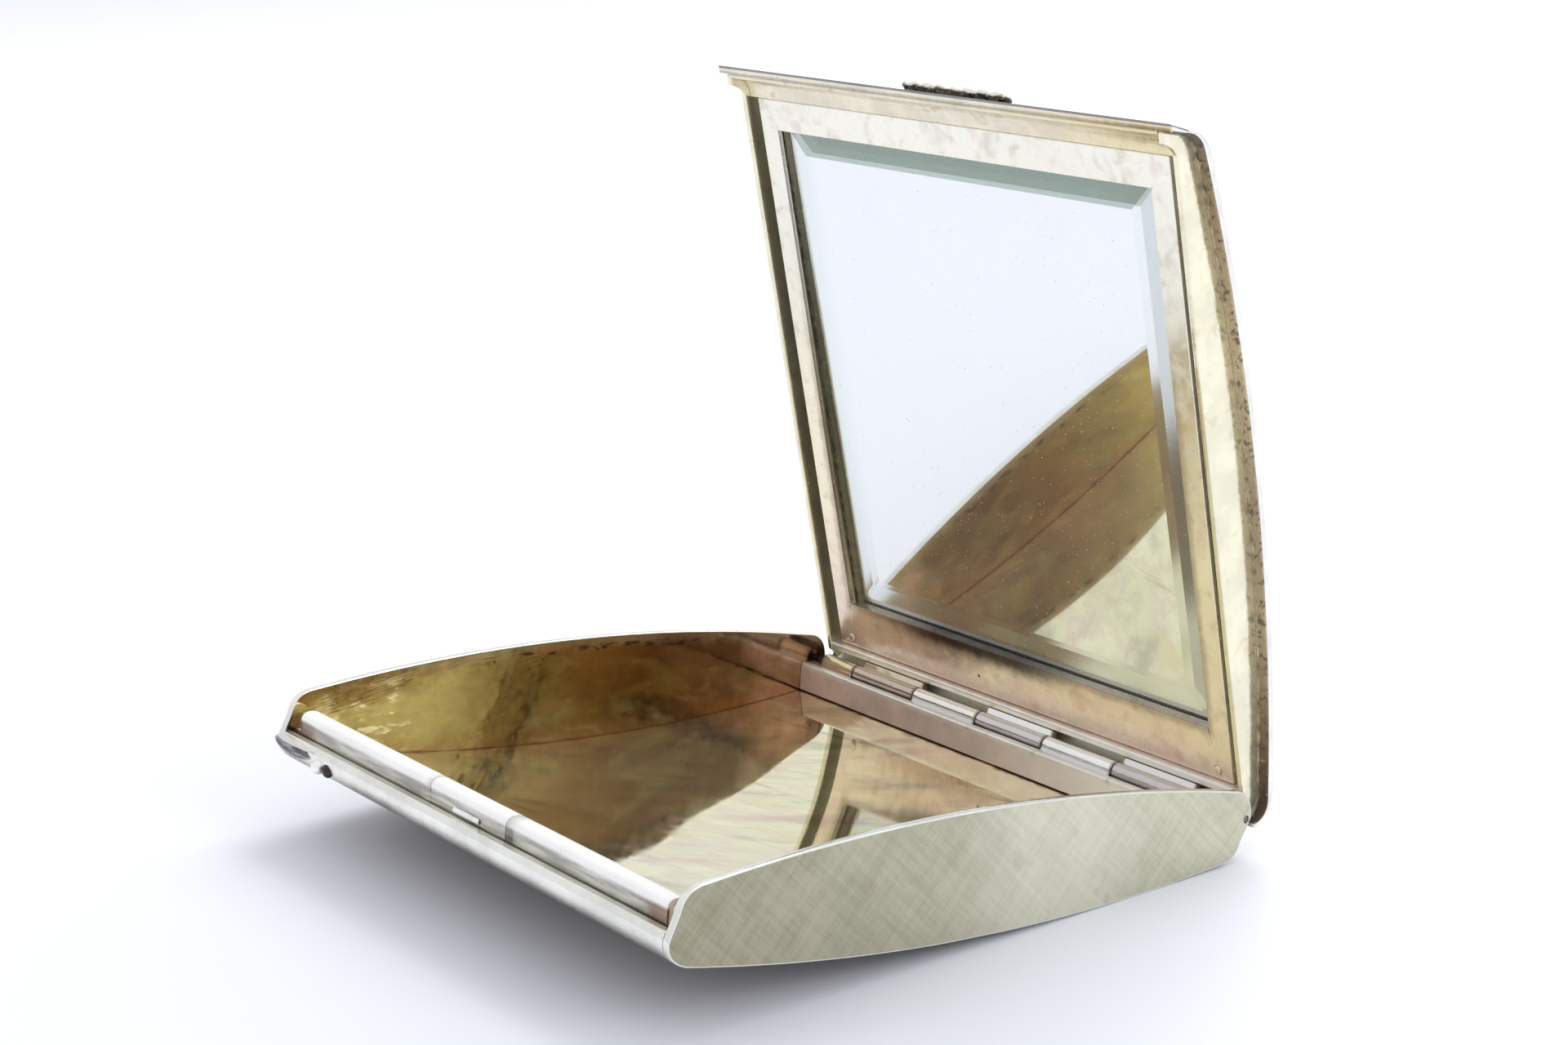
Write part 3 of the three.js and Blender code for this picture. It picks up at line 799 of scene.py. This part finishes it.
def oxidised_silver(name):
    """Cast silver, black in its hollows, rubbed grey on its high points and cream on its outermost tops."""
    s = Shade(name)
    high = s.pointiness(0.5, 0.55)
    patch = s.cloud(0.8, 4, 0.42, 0.62)
    s.colour = s.mix(s.spread(s.noise(1.6, 3, 0.5), 0.35, 0.65), (0.015, 0.012, 0.01), (0.09, 0.065, 0.045))
    s.lay((0.9, 0.88, 0.84), high, s.spread(patch, 0.0, 1.0, 0.1, 0.7))
    outward = s.minus(s.times(s.z, 0.53), s.times(s.y, 0.85))
    top = s.spread(s.plus(outward, s.waver(0.5, 1.2, 3)), 34.4, 34.65, 0.0, 0.9)
    s.lay((0.93, 0.9, 0.78), top)
    rough = s.spread(high, 0.0, 1.0, 0.5, 0.2)
    return s.finish(rough, s.bump(s.noise(3.0, 4, 0.6), 0.05, 0.5))


def bezel_silver(name):
    """The bezel: a bead painted nearly white as a painted highlight, a greyer face, and red-brown stains at
    both ends of the face.
    """
    s, roughness, normal = polished_silver(name, (1.0, 0.99, 0.95), rough=0.3, stained=0.1, wavy=0.01)
    far = s.spread(s.plus(s.absolute(s.x), s.waver(0.7, 3.0)), 30.6, 32.6)
    face = s.times(s.fade(s.y, -36.75, -36.45), s.fade(s.z, 0.95, 1.45))
    rubbed = s.noise(0.6, 4, 0.6, s.scaled(0.25, 1.0, 3.0))
    grey = s.mix(s.spread(rubbed, 0.36, 0.64), (0.38, 0.365, 0.32), (0.64, 0.62, 0.56))
    # Painted highlight: the bead is nearly white and mostly matt.
    s.lay((1.0, 1.0, 0.97), 0.6)
    s.lay(grey, face)
    s.lay((0.26, 0.14, 0.1), far, face, 0.75)
    return s.finish(roughness, normal, s.spread(face, 0.0, 1.0, 0.1, 0.85))


def pip_metal():
    """The ornament of the tray: grey and streaky, brighter on its top as a painted highlight, with one pip
    painted bright as a highlight and a black spot beside it.
    """
    s = Shade("pip_metal")
    high = s.pointiness(0.47, 0.55)
    streak = s.noise(1.0, 4, 0.6, s.scaled(0.35, 1.0, 2.6))
    dark = s.mix(s.spread(streak, 0.42, 0.62), (0.05, 0.04, 0.05), (0.34, 0.32, 0.33))
    # A painted highlight along the top, with the high points a little brighter from rubbing.
    shine = s.most(s.times(s.spread(s.z, -1.1, -0.8), 0.8), s.times(high, 0.2))
    s.colour = s.mix(shine, dark, (0.88, 0.87, 0.84))
    # The pip: a painted highlight on its bead.
    s.lay((0.96, 0.95, 0.92), s.near(s.x, -27.6, 0.95, 0.25))
    s.lay((0.02, 0.015, 0.012), s.near(s.x, -25.7, 1.0, 0.3), 0.92)
    rough = s.spread(high, 0.0, 1.0, 0.42, 0.18)
    return s.finish(rough, s.bump(streak, 0.04, 0.5))


def shaded_nose(name):
    """The rounded front of the tray: pale above and greyer towards its underside, a painted shade."""
    s, roughness, normal = polished_silver(
        name, (0.92, 0.91, 0.84), rough=0.26, stained=0.12, wavy=0.008
    )
    # Painted shade towards the underside of the nose.
    low = s.fade(s.plus(s.z, s.waver(0.2, 1.2, 3)), -3.2, -1.6)
    s.lay((0.27, 0.23, 0.18), low)
    return s.finish(roughness, normal)


# Old silvering is hazy: the rest of it scatters light like a veil.
SILVERING = 0.88


def looking_glass():
    """Clear glass for the face, its bevels, a darker green for the front bevel that is partly the glass's
    tint and partly painted shade, and the silvering behind.
    """
    faces = []
    kinds = (
        ("face", (0.97, 0.985, 0.98), 0.0),
        ("bevel", (0.9, 0.935, 0.91), 0.16),
        # The front bevel's darker green: partly the glass's tint, partly painted shade.
        ("top_bevel_painted_shade", (0.29, 0.355, 0.29), 0.0),
    )
    for name, tint, dull in kinds:
        s = Shade("mirror_glass_" + name)
        s.colour = s.mix(s.noise(0.35, 3, 0.6), tint, tuple(1.06 * c for c in tint))
        faces.append(s.finish(dull, None, 0.0))
        s.bsdf.inputs["Transmission Weight"].default_value = 1.0
        s.bsdf.inputs["IOR"].default_value = 1.52
    back = Shade("mirror_silvering")
    specks = back.blot(3.4, 0.73, 0.76, 1, 2.0)
    hazy = back.blot(0.12, 0.5, 0.75, 4, 7.0)
    back.colour = (0.94, 0.955, 0.955)
    back.lay((0.8, 0.82, 0.8), hazy, 0.12)
    back.lay((0.98, 0.98, 0.96), specks, 0.5)
    edge = back.spread(back.most(back.absolute(back.x), back.minus(-1.6, back.y)), 30.4, 31.6)
    back.lay((0.1, 0.085, 0.06), edge, back.blot(0.7, 0.42, 0.6, 4, 3.0), 0.8)
    side = Shade("mirror_side")
    cloud = side.cloud(0.8, 4, 0.35, 0.65)
    side.colour = side.mix(cloud, (0.05, 0.035, 0.025), (0.15, 0.11, 0.08))
    # Dark paint on the sides, kept darkest around x = -7 as a painted shadow and lighter tan away from it.
    side.lay((0.42, 0.36, 0.28), side.spread(side.absolute(side.plus(side.x, 7.0)), 8.0, 34.0, 0.0, 0.8))
    side.finish(0.45, side.bump(side.noise(2.0, 3, 0.6), 0.03, 0.6), 0.3)
    return [*faces, back.finish(back.times(specks, 0.35), None, SILVERING), side.material]


def felt(name):
    s = Shade(name, lying=False)
    fibre = s.noise(2.6, 5, 0.7, warp=1.5)
    s.colour = s.mix(s.spread(fibre, 0.35, 0.65), (0.1, 0.075, 0.05), (0.24, 0.19, 0.13))
    material = s.finish(0.95, s.bump(fibre, 0.25, 0.8), 0.0)
    s.bsdf.inputs["Sheen Weight"].default_value = 0.4
    return material


wall_silver = hatched_silver("wall_silver", "yz", (0.585, 0.565, 0.43), (0.35, 0.34, 0.245), fade=True)
skin_silver = hatched_silver("skin_silver", "xy", (0.66, 0.66, 0.6), (0.38, 0.385, 0.34), stained=0.4)
nose_silver = shaded_nose("nose_silver")
rim_silver = simple_polished("rim_silver", (0.93, 0.92, 0.86), rough=0.14, stained=0.12)
# The catch bead: nearly white and mostly matt, a painted highlight.
painted_highlight_silver = simple_polished("painted_highlight_silver", (0.99, 0.98, 0.95), rough=0.4, stained=0.05, metallic=0.3)
cove_silver = cove_metal("cove_silver")
# The front of the lid's nose, painted dark grey as shade.
nose_edge_painted_shade = simple_polished("nose_edge_painted_shade", (0.32, 0.305, 0.3), rough=0.36, stained=0.3)
lid_wall_silver = simple_polished(
    "lid_wall_silver", (0.95, 0.9, 0.68), rough=0.15, stain=(0.66, 0.52, 0.3), stained=0.4
)
wall_lining = toned_wall("wall_lining")
floor_lining = toned_floor("floor_lining")
frame_metal = frame_silver("frame_metal")
band_metal = edge_band("band_metal")
bezel_metal = bezel_silver("bezel_metal")
bearer_metal = bearer_silver("bearer_metal", (0.95, 0.91, 0.85), (0.72, 0.58, 0.54), -0.1)
lid_bearer_metal = bearer_silver("lid_bearer_metal", (0.76, 0.64, 0.56), (0.88, 0.82, 0.72), 1.95)
knuckle_metal = knuckle_silver("knuckle_metal")
cast_metal = oxidised_silver("cast_metal")
pin_metal = simple_polished("pin_metal", (0.2, 0.17, 0.14), rough=0.3, stained=0.5)

# ---- pieces


def stand(obj, body, slot, materials, *nodes):
    """Stands a piece in place, gives it its finishes and hides the CAD nodes that it stands for."""
    lie = obj.data.attributes.new("lie", "FLOAT_VECTOR", "POINT")
    lie.data.foreach_set("vector", [c / MM for v in obj.data.vertices for c in v.co])
    obj.data.transform(OPENED if body == "lid" else SEAM)
    for material in materials:
        obj.data.materials.append(material)
    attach(obj, body)
    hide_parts(*nodes)
    return obj


def pulled(name, outline, lo, hi, body, slot, materials, **settings):
    obj = prism("fine_" + name, outline, lo, hi, **settings)
    steady_normals(obj)
    return stand(obj, body, slot, materials, name)


def underside(s):
    """Carries an outline from the nose of the tray under it to the back."""
    s.line(-38.35, -1.0, radius=1.0)
    s.curve(-38.6, -3.1, -36, case_bottom.at(-36), radius=0.8)
    s.bow(case_bottom, -REST_FLAT, steps=30)
    s.line(REST_FLAT, UNDERSIDE)
    s.bow(case_bottom, 34.6, steps=30)
    s.curve(36.6, -3.7, 37, -1.9)


def base_wall():
    s = Outline(-35, case_top.at(-35), radius=1.2)
    s.curve(-36.9, 3.6, -37.3, 1.6)
    underside(s)
    s.line(38.25, 0.6, radius=0.8)
    s.curve(38.2, 3.4, 36, case_top.at(36), radius=0.8)
    return s.bow(case_top, -35)


def base_wall_piece(side):
    """Finish 0 is the rounded rim, 1 the hatched outside and 2 the lined inside."""
    name = "base_wall_" + ("left" if side < 0 else "right")
    lo, hi = sorted((side * HALF_WIDTH, side * INNER))
    caps = (1, 2) if side < 0 else (2, 1)
    pulled(
        name, base_wall(), lo, hi, "base", "silver_satin", [rim_silver, wall_silver, wall_lining],
        edge=0.13, corner=0.3, holes=[circle(PIN_Y, PIN_Z, BASE_BORE, 24)], caps=caps, ring=0.08,
    )


def base_skin():
    """Finish 0 is the satin outside and 1 the lining."""
    s = Outline(-38.07, -0.3)
    underside(s)
    s.line(37.5, -0.8)
    s.line(36.6, -0.8, finish=1)
    s.line(36.1, -1.8)
    s.curve(35.8, -2.9, 34.2, floor_top.at(34.2), radius=0.8)
    s.bow(floor_top, -35.2, radius=0.8)
    s.curve(-37.4, -2.5, -37.35, -1.0, finish=0)
    return s.line(-37.1, -0.3, finish=0)


def bezel_outline(bottom=None):
    """The front strip with its bead. Without a bottom height it goes down to the floor, over a low ridge."""
    s = Outline(BEZEL_FRONT, 1.1, radius=0)
    if bottom is None:
        s.lines((BEZEL_FRONT, -0.64), (-37.15, -0.68), (-37.2, -0.95), (BEZEL_FRONT, -1.4))
        s.lines((BEZEL_FRONT, -1.95), (BEZEL_BACK, -2.45))
    else:
        s.lines((BEZEL_FRONT, bottom), (BEZEL_BACK, bottom))
    s.line(BEZEL_BACK, 0.9)
    s.curve(BEZEL_BACK, 1.45, -35.7, 1.45)
    s.curve(-35.1, 1.45, -34.95, 1.05)
    s.line(-34.3, 1.2)
    s.curve(-34.5, 2.15, -35.7, 2.15, radius=0)
    return s.curve(BEZEL_FRONT, 2.15, BEZEL_FRONT, 1.1, radius=0)


def base_bearer():
    s = Outline(34.4, -2.98)
    s.lines((35.2, -2.74), (35.2, -0.25), (36.2, -0.65), (36.2, 0.05))
    s.line(35.3, 0.5, radius=0.25)
    s.line(34.8, 0.5, radius=0.25)
    return s.curve(34.4, 0.5, 34.4, 0.1, radius=0)


def knuckle(start, end, web):
    """A barrel round the pin, open between two angles in degrees for the web that joins it to its strip."""
    first, last = (
        (PIN_Y + KNUCKLE_RADIUS * math.cos(angle), PIN_Z + KNUCKLE_RADIUS * math.sin(angle))
        for angle in (math.radians(start), math.radians(end))
    )
    s = Outline(*first, radius=0.05)
    for corner in web:
        s.line(*corner, radius=0.06)
    s.line(*last, radius=0.05)
    return s.arc(PIN_Y, PIN_Z, KNUCKLE_RADIUS, end, start + 360, 56)


BASE_WEB = [(36.24, 0.0), (36.24, -0.62), (36.65, -0.74), (37.4, -0.74)]
LID_WEB = [(38.1, 1.75), (38.1, 2.3), (36.35, 2.3), (36.35, 1.8)]
KNUCKLE_LENGTH = 11.4
KNUCKLE_GAP = 0.16
KNUCKLE_ROW = 34.6


def knuckles():
    joints = [-KNUCKLE_ROW, *((i - 2.5) * KNUCKLE_LENGTH for i in range(6)), KNUCKLE_ROW]
    kinds = (
        ("base", knuckle(185, 268, BASE_WEB), BASE_BORE),
        ("lid", knuckle(60, 125, LID_WEB), LID_BORE),
    )
    for i, (lo, hi) in enumerate(zip(joints, joints[1:])):
        body, outline, bore = kinds[i % 2]
        pulled(
            f"{body}_knuckle_{i // 2 + 1}", outline, lo + KNUCKLE_GAP / 2, hi - KNUCKLE_GAP / 2, body,
            "silver_knuckle", [knuckle_metal],
            edge=0.13, corner=0.05, holes=[circle(PIN_Y, PIN_Z, bore, 24)], band=0.25,
        )


def lid_skin():
    """Finish 0 is the hatched outside, 1 the inside, 2 the rim of the nose and 3 its front, painted dark grey
    as shade.
    """
    s = Outline(-38.95, 0, finish=3, radius=0.04)
    s.line(-38.66, 0, finish=2, radius=0)
    s.line(-38.07, 0, finish=1, radius=0)
    s.line(-37.42, 1.7)
    s.curve(-37, 3.85, -34.9, lid_inside.at(-34.9), radius=0.8)
    s.bow(lid_inside, 36, radius=0.8)
    s.curve(38.35, 3.85, 38.4, 1.5, finish=0)
    s.line(39.1, 1.5)
    s.curve(38.5, 4.7, 36, lid_outside.at(36), radius=1.0)
    s.bow(lid_outside, -35, radius=1.0)
    return s.curve(-37.05, 4.5, -37.75, 2.4, finish=3, radius=1.0)


def lid_wall():
    top = Bow(1, CROWN + LID_LIFT - JOINT_GAP)
    s = Outline(-38.03, 0.06)
    s.line(-36.7, 0.06)
    s.curve(-35.9, LID_RIM, -34.9, LID_RIM, radius=0)
    s.line(36.3, LID_RIM, radius=0.5)
    s.line(37.6, 2.6)
    s.curve(37.5, 3.72, 36, top.at(36), radius=0.5)
    s.bow(top, -34.9, radius=0.5)
    return s.curve(-36.9, 3.8, -37.4, 1.7, radius=0.8)


def front_band():
    s = Outline(-38.2, 0.01, radius=0)
    s.line(-37.6, 0.01, radius=0.25)
    s.line(-37.35, 0.9, radius=0.4)
    s.curve(-36.9, FRAME_FACE, FRAME_FRONT - 0.03, FRAME_FACE, radius=0.03)
    s.line(FRAME_FRONT - 0.03, 3.5)
    s.line(-36, 3.5, radius=0.3)
    return s.curve(-37.1, 3.3, -37.45, 1.72, radius=0.4)


def lid_bearer():
    s = Outline(35.27, 3.9)
    s.line(35.27, 2, radius=0)
    s.curve(35.27, LID_RIM, 35.6, LID_RIM, radius=0)
    return s.lines((36.05, LID_RIM), (36.3, 1.95), (36.3, 2.3), (36.05, 2.5), (36.05, 3.8))


def rectangle(u0, v0, u1, v1):
    return Outline(u0, v0).lines((u1, v0), (u1, v1), (u0, v1))


def mirror_frame():
    window = rectangle(-WINDOW_HALF, WINDOW_FRONT, WINDOW_HALF, WINDOW_BACK)
    pins = [circle(x, FRAME_PIN_Y, 0.54, 20) for x in (-FRAME_PIN_X, FRAME_PIN_X)]
    plate = prism(
        "fine_mirror_frame", rectangle(-33.4, FRAME_FRONT, 33.4, FRAME_BACK), FRAME_FACE,
        FRAME_FACE + FRAME_SHEET, axis="Z", edge=0.14, corner=0.25, holes=[window, *pins],
    )
    lip = rectangle(WINDOW_BACK + 0.02, FRAME_FACE + FRAME_SHEET - 0.1, WINDOW_BACK + 0.5, FRAME_LIP)
    absorb(plate, prism("lip", lip, 0.05 - WINDOW_HALF, WINDOW_HALF - 0.05, edge=0.04, corner=0.06))
    steady_normals(plate)
    stand(plate, "lid", "silver_tarnished", [frame_metal], "mirror_frame")
    for side, x in (("left", -FRAME_PIN_X), ("right", FRAME_PIN_X)):
        pulled(
            "frame_pin_" + side, circle(x, FRAME_PIN_Y, 0.5, 24), FRAME_FACE - 0.12, FRAME_FACE + 1.05,
            "lid", "silver_tarnished", [frame_metal], axis="Z", edge=0.12, band=0.1,
        )


GLASS_FACE = 3.1
GLASS_FRONT = -33.0
GLASS_BACK = 30.9
GLASS_HALF = 31.4
GLASS_TILT = 0.4
BEVEL_WIDTH = 4.8
BEVEL_DROP = 0.5
GLASS_THICKNESS = 1.1


def mirror_glass():
    """Finish 0 is the clear face, 1 the bevels, 2 the front bevel, 3 the silvered back, 4 the sides."""
    bm = bmesh.new()
    turn = (
        Matrix.Translation((0, GLASS_FRONT, GLASS_FACE))
        @ Matrix.Rotation(math.radians(GLASS_TILT), 4, "X")
        @ Matrix.Translation((0, -GLASS_FRONT, -GLASS_FACE))
    )
    levels = [(0, BEVEL_WIDTH), (BEVEL_DROP, 0), (GLASS_THICKNESS, 0)]
    rows = []
    for z, back in levels:
        x, front, rear = GLASS_HALF - back, GLASS_FRONT + back, GLASS_BACK - back
        corners = [(-x, front), (x, front), (x, rear), (-x, rear)]
        rows.append([bm.verts.new(turn @ Vector((u, v, GLASS_FACE + z))) for u, v in corners])
    bm.faces.new(rows[0]).material_index = 0
    for level, (a, b) in enumerate(zip(rows, rows[1:])):
        for i, face in enumerate(skirt(bm, a, b)):
            face.material_index = 4 if level else 2 if i == 0 else 1
    bm.faces.new(rows[2]).material_index = 3
    obj = new_object("fine_mirror_glass", bm)
    for polygon in obj.data.polygons:
        polygon.use_smooth = False
    stand(obj, "lid", "mirror", looking_glass(), "mirror_glass")


def leaf(bm, centre, along, up, length, width, height, groove=0.3, around=20, steps=14):
    """A pointed cast leaf with a groove down its middle."""
    along = Vector(along).normalized()
    side = Vector(up).cross(along).normalized()
    top = along.cross(side)
    rows = []
    for i in range(steps + 1):
        t = i / steps
        swell = max(0.03, math.sin(math.pi * t**0.8)) ** 0.75
        row = []
        for k in range(around):
            a = 2 * math.pi * k / around
            p, q = math.cos(a), math.sin(a)
            crease = groove * math.exp(-((p / 0.28) ** 2)) if q > 0 else 0
            offset = side * (p * width * swell) + top * (q * height * swell * (1 - crease))
            row.append(bm.verts.new(Vector(centre) + along * (length * (t - 0.5)) + offset))
        rows.append(row)
    for a, b in zip(rows, rows[1:]):
        skirt(bm, a, b)
    bm.faces.new(rows[0])
    bm.faces.new(rows[-1])


def bead(bm, centre, radii):
    """A ball or an egg."""
    made = bmesh.ops.create_uvsphere(bm, u_segments=20, v_segments=12, radius=1)
    for v in made["verts"]:
        v.co = Vector(centre) + Vector([a * b for a, b in zip(v.co, radii)])


def fuse(obj, voxel):
    """Melts the parts of a casting into one body."""
    remesh = obj.modifiers.new("fuse", "REMESH")
    remesh.mode = "VOXEL"
    remesh.voxel_size = voxel * MM
    remesh.use_smooth_shade = True
    soften = obj.modifiers.new("soften", "SMOOTH")
    soften.factor = 0.5
    soften.iterations = 3
    bake(obj)


def seat_on(obj, point, outward):
    """Flattens what would pass through the seat plane."""
    point, outward = Vector(point) * MM, Vector(outward).normalized()
    for v in obj.data.vertices:
        depth = (v.co - point).dot(outward)
        if depth < 0:
            v.co -= outward * depth


OUTWARD = (0, -0.85, 0.53)

# The leaves on each side of the thumb-piece: place, length, width, height and the rise of the tip.
LEAVES = (
    (2.4, 4.2, 1.15, 1.1, 0.12),
    (4.7, 4.0, 1.05, 1.1, 0.04),
    (6.9, 3.8, 0.9, 1.05, 0.0),
)


def thumb_piece():
    bm = bmesh.new()
    y, z = -37.3, 4.45
    bead(bm, (0, y, z), (1.35, 1.2, 1.15))
    bead(bm, (0, y - 0.35, z + 0.4), (0.75, 0.75, 0.75))
    for side in (-1, 1):
        for x, length, width, height, tip in LEAVES:
            leaf(bm, (side * x, y - 0.15, z + 0.1), (side, -tip, tip), OUTWARD, length, width, height)
            leaf(bm, (side * (x - 0.4), y + 0.5, z + 0.55), (side, 0.35, 0.25), (0, -0.6, 0.8), 2.4, 0.5, 0.5)
            bead(bm, (side * (x + 1.0), y - 0.75, z - 0.35), (0.42, 0.42, 0.42))
    obj = new_object("fine_thumb_piece", bm)
    fuse(obj, 0.1)
    seat_on(obj, (0, -36.75, 4.0), OUTWARD)
    stand(obj, "lid", "silver_oxidised", [cast_metal], "thumb_piece")


def base_ornament():
    bm = bmesh.new()
    y, z = -38.3, -1.75
    leaf(bm, (-33.2, y, z + 0.3), (1, 0, -0.04), (0, -1, 0), 8.4, 1.0, 0.6, 0.15)
    leaf(bm, (-32.4, y - 0.12, z + 0.95), (1, 0, -0.03), (0, -1, 0), 8.0, 0.28, 0.5, 0.0)
    bead(bm, (-27.6, y - 0.1, z - 0.35), (0.95, 0.7, 0.8))
    bead(bm, (-25.8, y + 0.05, z - 0.35), (0.9, 0.5, 0.75))
    obj = new_object("fine_base_ornament", bm)
    fuse(obj, 0.08)
    seat_on(obj, (0, -37.8, -1.8), (0, -1, -0.05))
    stand(obj, "base", "silver_oxidised", [pip_metal()], "base_ornament")


SKIN_HALF = INNER - JOINT_GAP
STRIP_HALF = LID_WALL_IN - JOINT_GAP

base_wall_piece(-1)
base_wall_piece(1)
pulled(
    "base_skin", base_skin(), -SKIN_HALF, SKIN_HALF, "base", "silver_tarnished",
    [nose_silver, floor_lining],
    edge=0.04, corner=0.12, cuts=54, shift=dents(35.7, 33.5, -CROWN, -1.0, 21, 3),
)

BEZEL_HALF = 34.3
TONGUE = 7.0
SLIT = 0.12
TONGUE_ROOT = -0.6
bezel = prism(
    "fine_base_front_bezel", bezel_outline(), -BEZEL_HALF, BEZEL_HALF, edge=0.08, corner=0.12, cuts=30
)
subtract(bezel, box_object("slit", (-TONGUE - SLIT, -39, TONGUE_ROOT), (TONGUE + SLIT, -33, 3)))
stub = Outline(-36.89, -0.15).lines((-36.89, -1.94), (-36.11, -2.42), (-36.11, -0.15))
for stub_side in (-1, 1):
    stub_lo, stub_hi = sorted((stub_side * (BEZEL_HALF - 0.1), stub_side * (INNER - 0.08)))
    absorb(bezel, prism("stub", stub, stub_lo, stub_hi, edge=0.04, corner=0.06))
steady_normals(bezel)
stand(bezel, "base", "silver_polished", [bezel_metal], "base_front_bezel")
pulled(
    "catch_tongue", bezel_outline(TONGUE_ROOT + JOINT_GAP), -TONGUE, TONGUE, "catch", "silver_polished",
    [bezel_metal], edge=0.03, corner=0.06, cuts=8, band=0.06,
)
catch = Outline(BEZEL_FRONT - JOINT_GAP, 0.55)
catch.curve(-37.5, 0.2, BEZEL_FRONT - JOINT_GAP, -0.15)
pulled(
    "catch_bead", catch, -2.4, 2.4, "catch", "silver_polished", [painted_highlight_silver],
    edge=0.16, corner=0.04, band=0.1,
)
pulled(
    "base_rear_bearer", base_bearer(), -SKIN_HALF, SKIN_HALF, "base", "silver_tarnished",
    [bearer_metal], edge=0.05, corner=0.1, cuts=20,
)
pulled(
    "hinge_pin", circle(PIN_Y, PIN_Z, PIN_RADIUS, 28), 0.12 - HALF_WIDTH, HALF_WIDTH - 0.12, "base",
    "silver_knuckle", [pin_metal], edge=0.12, band=0.1,
)
knuckles()
base_ornament()

pulled(
    "lid_skin", lid_skin(), -HALF_WIDTH, HALF_WIDTH, "lid", "silver_polished",
    [skin_silver, band_metal, cove_silver, nose_edge_painted_shade, rim_silver],
    edge=0.2, corner=0.25, cuts=44, caps=(4, 4), shift=dents(34.5, 34.0, 3.5, 2 * CROWN, 19, 21),
)
for wall_name, *faces in (
    ("lid_wall_left", -LID_WALL_OUT, -LID_WALL_IN),
    ("lid_wall_right", LID_WALL_IN, LID_WALL_OUT),
):
    pulled(
        wall_name, lid_wall(), *faces, "lid", "silver_polished", [lid_wall_silver], edge=0.16, corner=0.2
    )
pulled(
    "lid_front_band", front_band(), -STRIP_HALF, STRIP_HALF, "lid", "silver_polished", [cove_silver],
    edge=0.05, corner=0.1, cuts=20,
)
pulled(
    "lid_rear_bearer", lid_bearer(), -STRIP_HALF, STRIP_HALF, "lid", "silver_tarnished", [lid_bearer_metal],
    edge=0.05, corner=0.08, cuts=20,
)
mirror_frame()
mirror_glass()
thumb_piece()
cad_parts["mirror_packing"].data.materials.clear()
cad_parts["mirror_packing"].data.materials.append(felt("felt"))

# ---- camera, floor and light

AZIMUTH = math.radians(51.107)
ELEVATION = math.radians(11.274)
ROLL = math.radians(4.312)
back_axis = Vector(
    (math.sin(AZIMUTH) * math.cos(ELEVATION), -math.cos(AZIMUTH) * math.cos(ELEVATION), math.sin(ELEVATION))
)
level = Vector((math.cos(AZIMUTH), math.sin(AZIMUTH), 0))
upright = back_axis.cross(level)
right_axis = level * math.cos(ROLL) + upright * math.sin(ROLL)
up_axis = upright * math.cos(ROLL) - level * math.sin(ROLL)
CAMERA_AT = Vector((234.357, -188.042, 87.847 - UNDERSIDE)) * MM

camera = add("camera", bpy.data.cameras.new("camera"))
camera_turn = Matrix((right_axis, up_axis, back_axis)).transposed().to_4x4()
camera.matrix_world = Matrix.Translation(CAMERA_AT) @ camera_turn
camera.data.sensor_width = 36
camera.data.lens = 66.14
camera.data.clip_start = 0.01
camera.data.clip_end = 20
bpy.context.scene.camera = camera

# The open case rocks back on its bowed underside, so the table stands at a small angle to it.
ROCK = math.radians(5.54)
table_up = Vector((0, -math.sin(ROCK), math.cos(ROCK)))
bow_centre = Vector((0, 0, -CROWN + BOW_RADIUS - UNDERSIDE))
touch = (bow_centre - table_up * (BOW_RADIUS + 0.02)) * MM

bm = bmesh.new()
bmesh.ops.create_grid(bm, x_segments=2, y_segments=2, size=4000)
table = new_object("table", bm)
table.matrix_world = Matrix.Translation(touch) @ Matrix.Rotation(ROCK, 4, "X")
paper = Shade("paper", lying=False)
paper.colour = paper.mix(paper.noise(0.004, 2, 0.5), (0.79, 0.80, 0.88), (0.83, 0.84, 0.91))
table.data.materials.append(paper.finish(0.6, None, 0.0))


for name, place, width, depth, watts, tint in (
    ("key", (-0.35, 0.75, 1.0), 0.9, 0.7, 9.0, (1.0, 0.985, 0.95)),
    ("side", (1.1, 0.35, 0.7), 0.6, 0.6, 3.0, (0.96, 0.98, 1.0)),
):
    light = bpy.data.lights.new(name, "AREA")
    light.shape = "RECTANGLE"
    light.size = width
    light.size_y = depth
    light.energy = watts
    light.color = tint
    softbox = add(name, light)
    softbox.location = place
    softbox.rotation_mode = "QUATERNION"
    softbox.rotation_quaternion = (Vector((0, 0, 0.02)) - Vector(place)).to_track_quat("-Z", "Y")
    softbox.visible_camera = False

world = bpy.data.worlds.new("studio")
bpy.context.scene.world = world
sky = Nodes(world)
height = sky.make("ShaderNodeSeparateXYZ", sky.make("ShaderNodeTexCoord").outputs["Generated"]).outputs[2]
sky_tint = sky.stops(height, [(0.0, (0.84, 0.87, 0.93)), (0.6, (0.97, 0.985, 1.0))])
sky_light = sky.make("ShaderNodeBackground", sky_tint, 0.93)
sky.make("ShaderNodeOutputWorld", sky_light.outputs[0])

bpy.context.scene.view_settings.view_transform = "Standard"
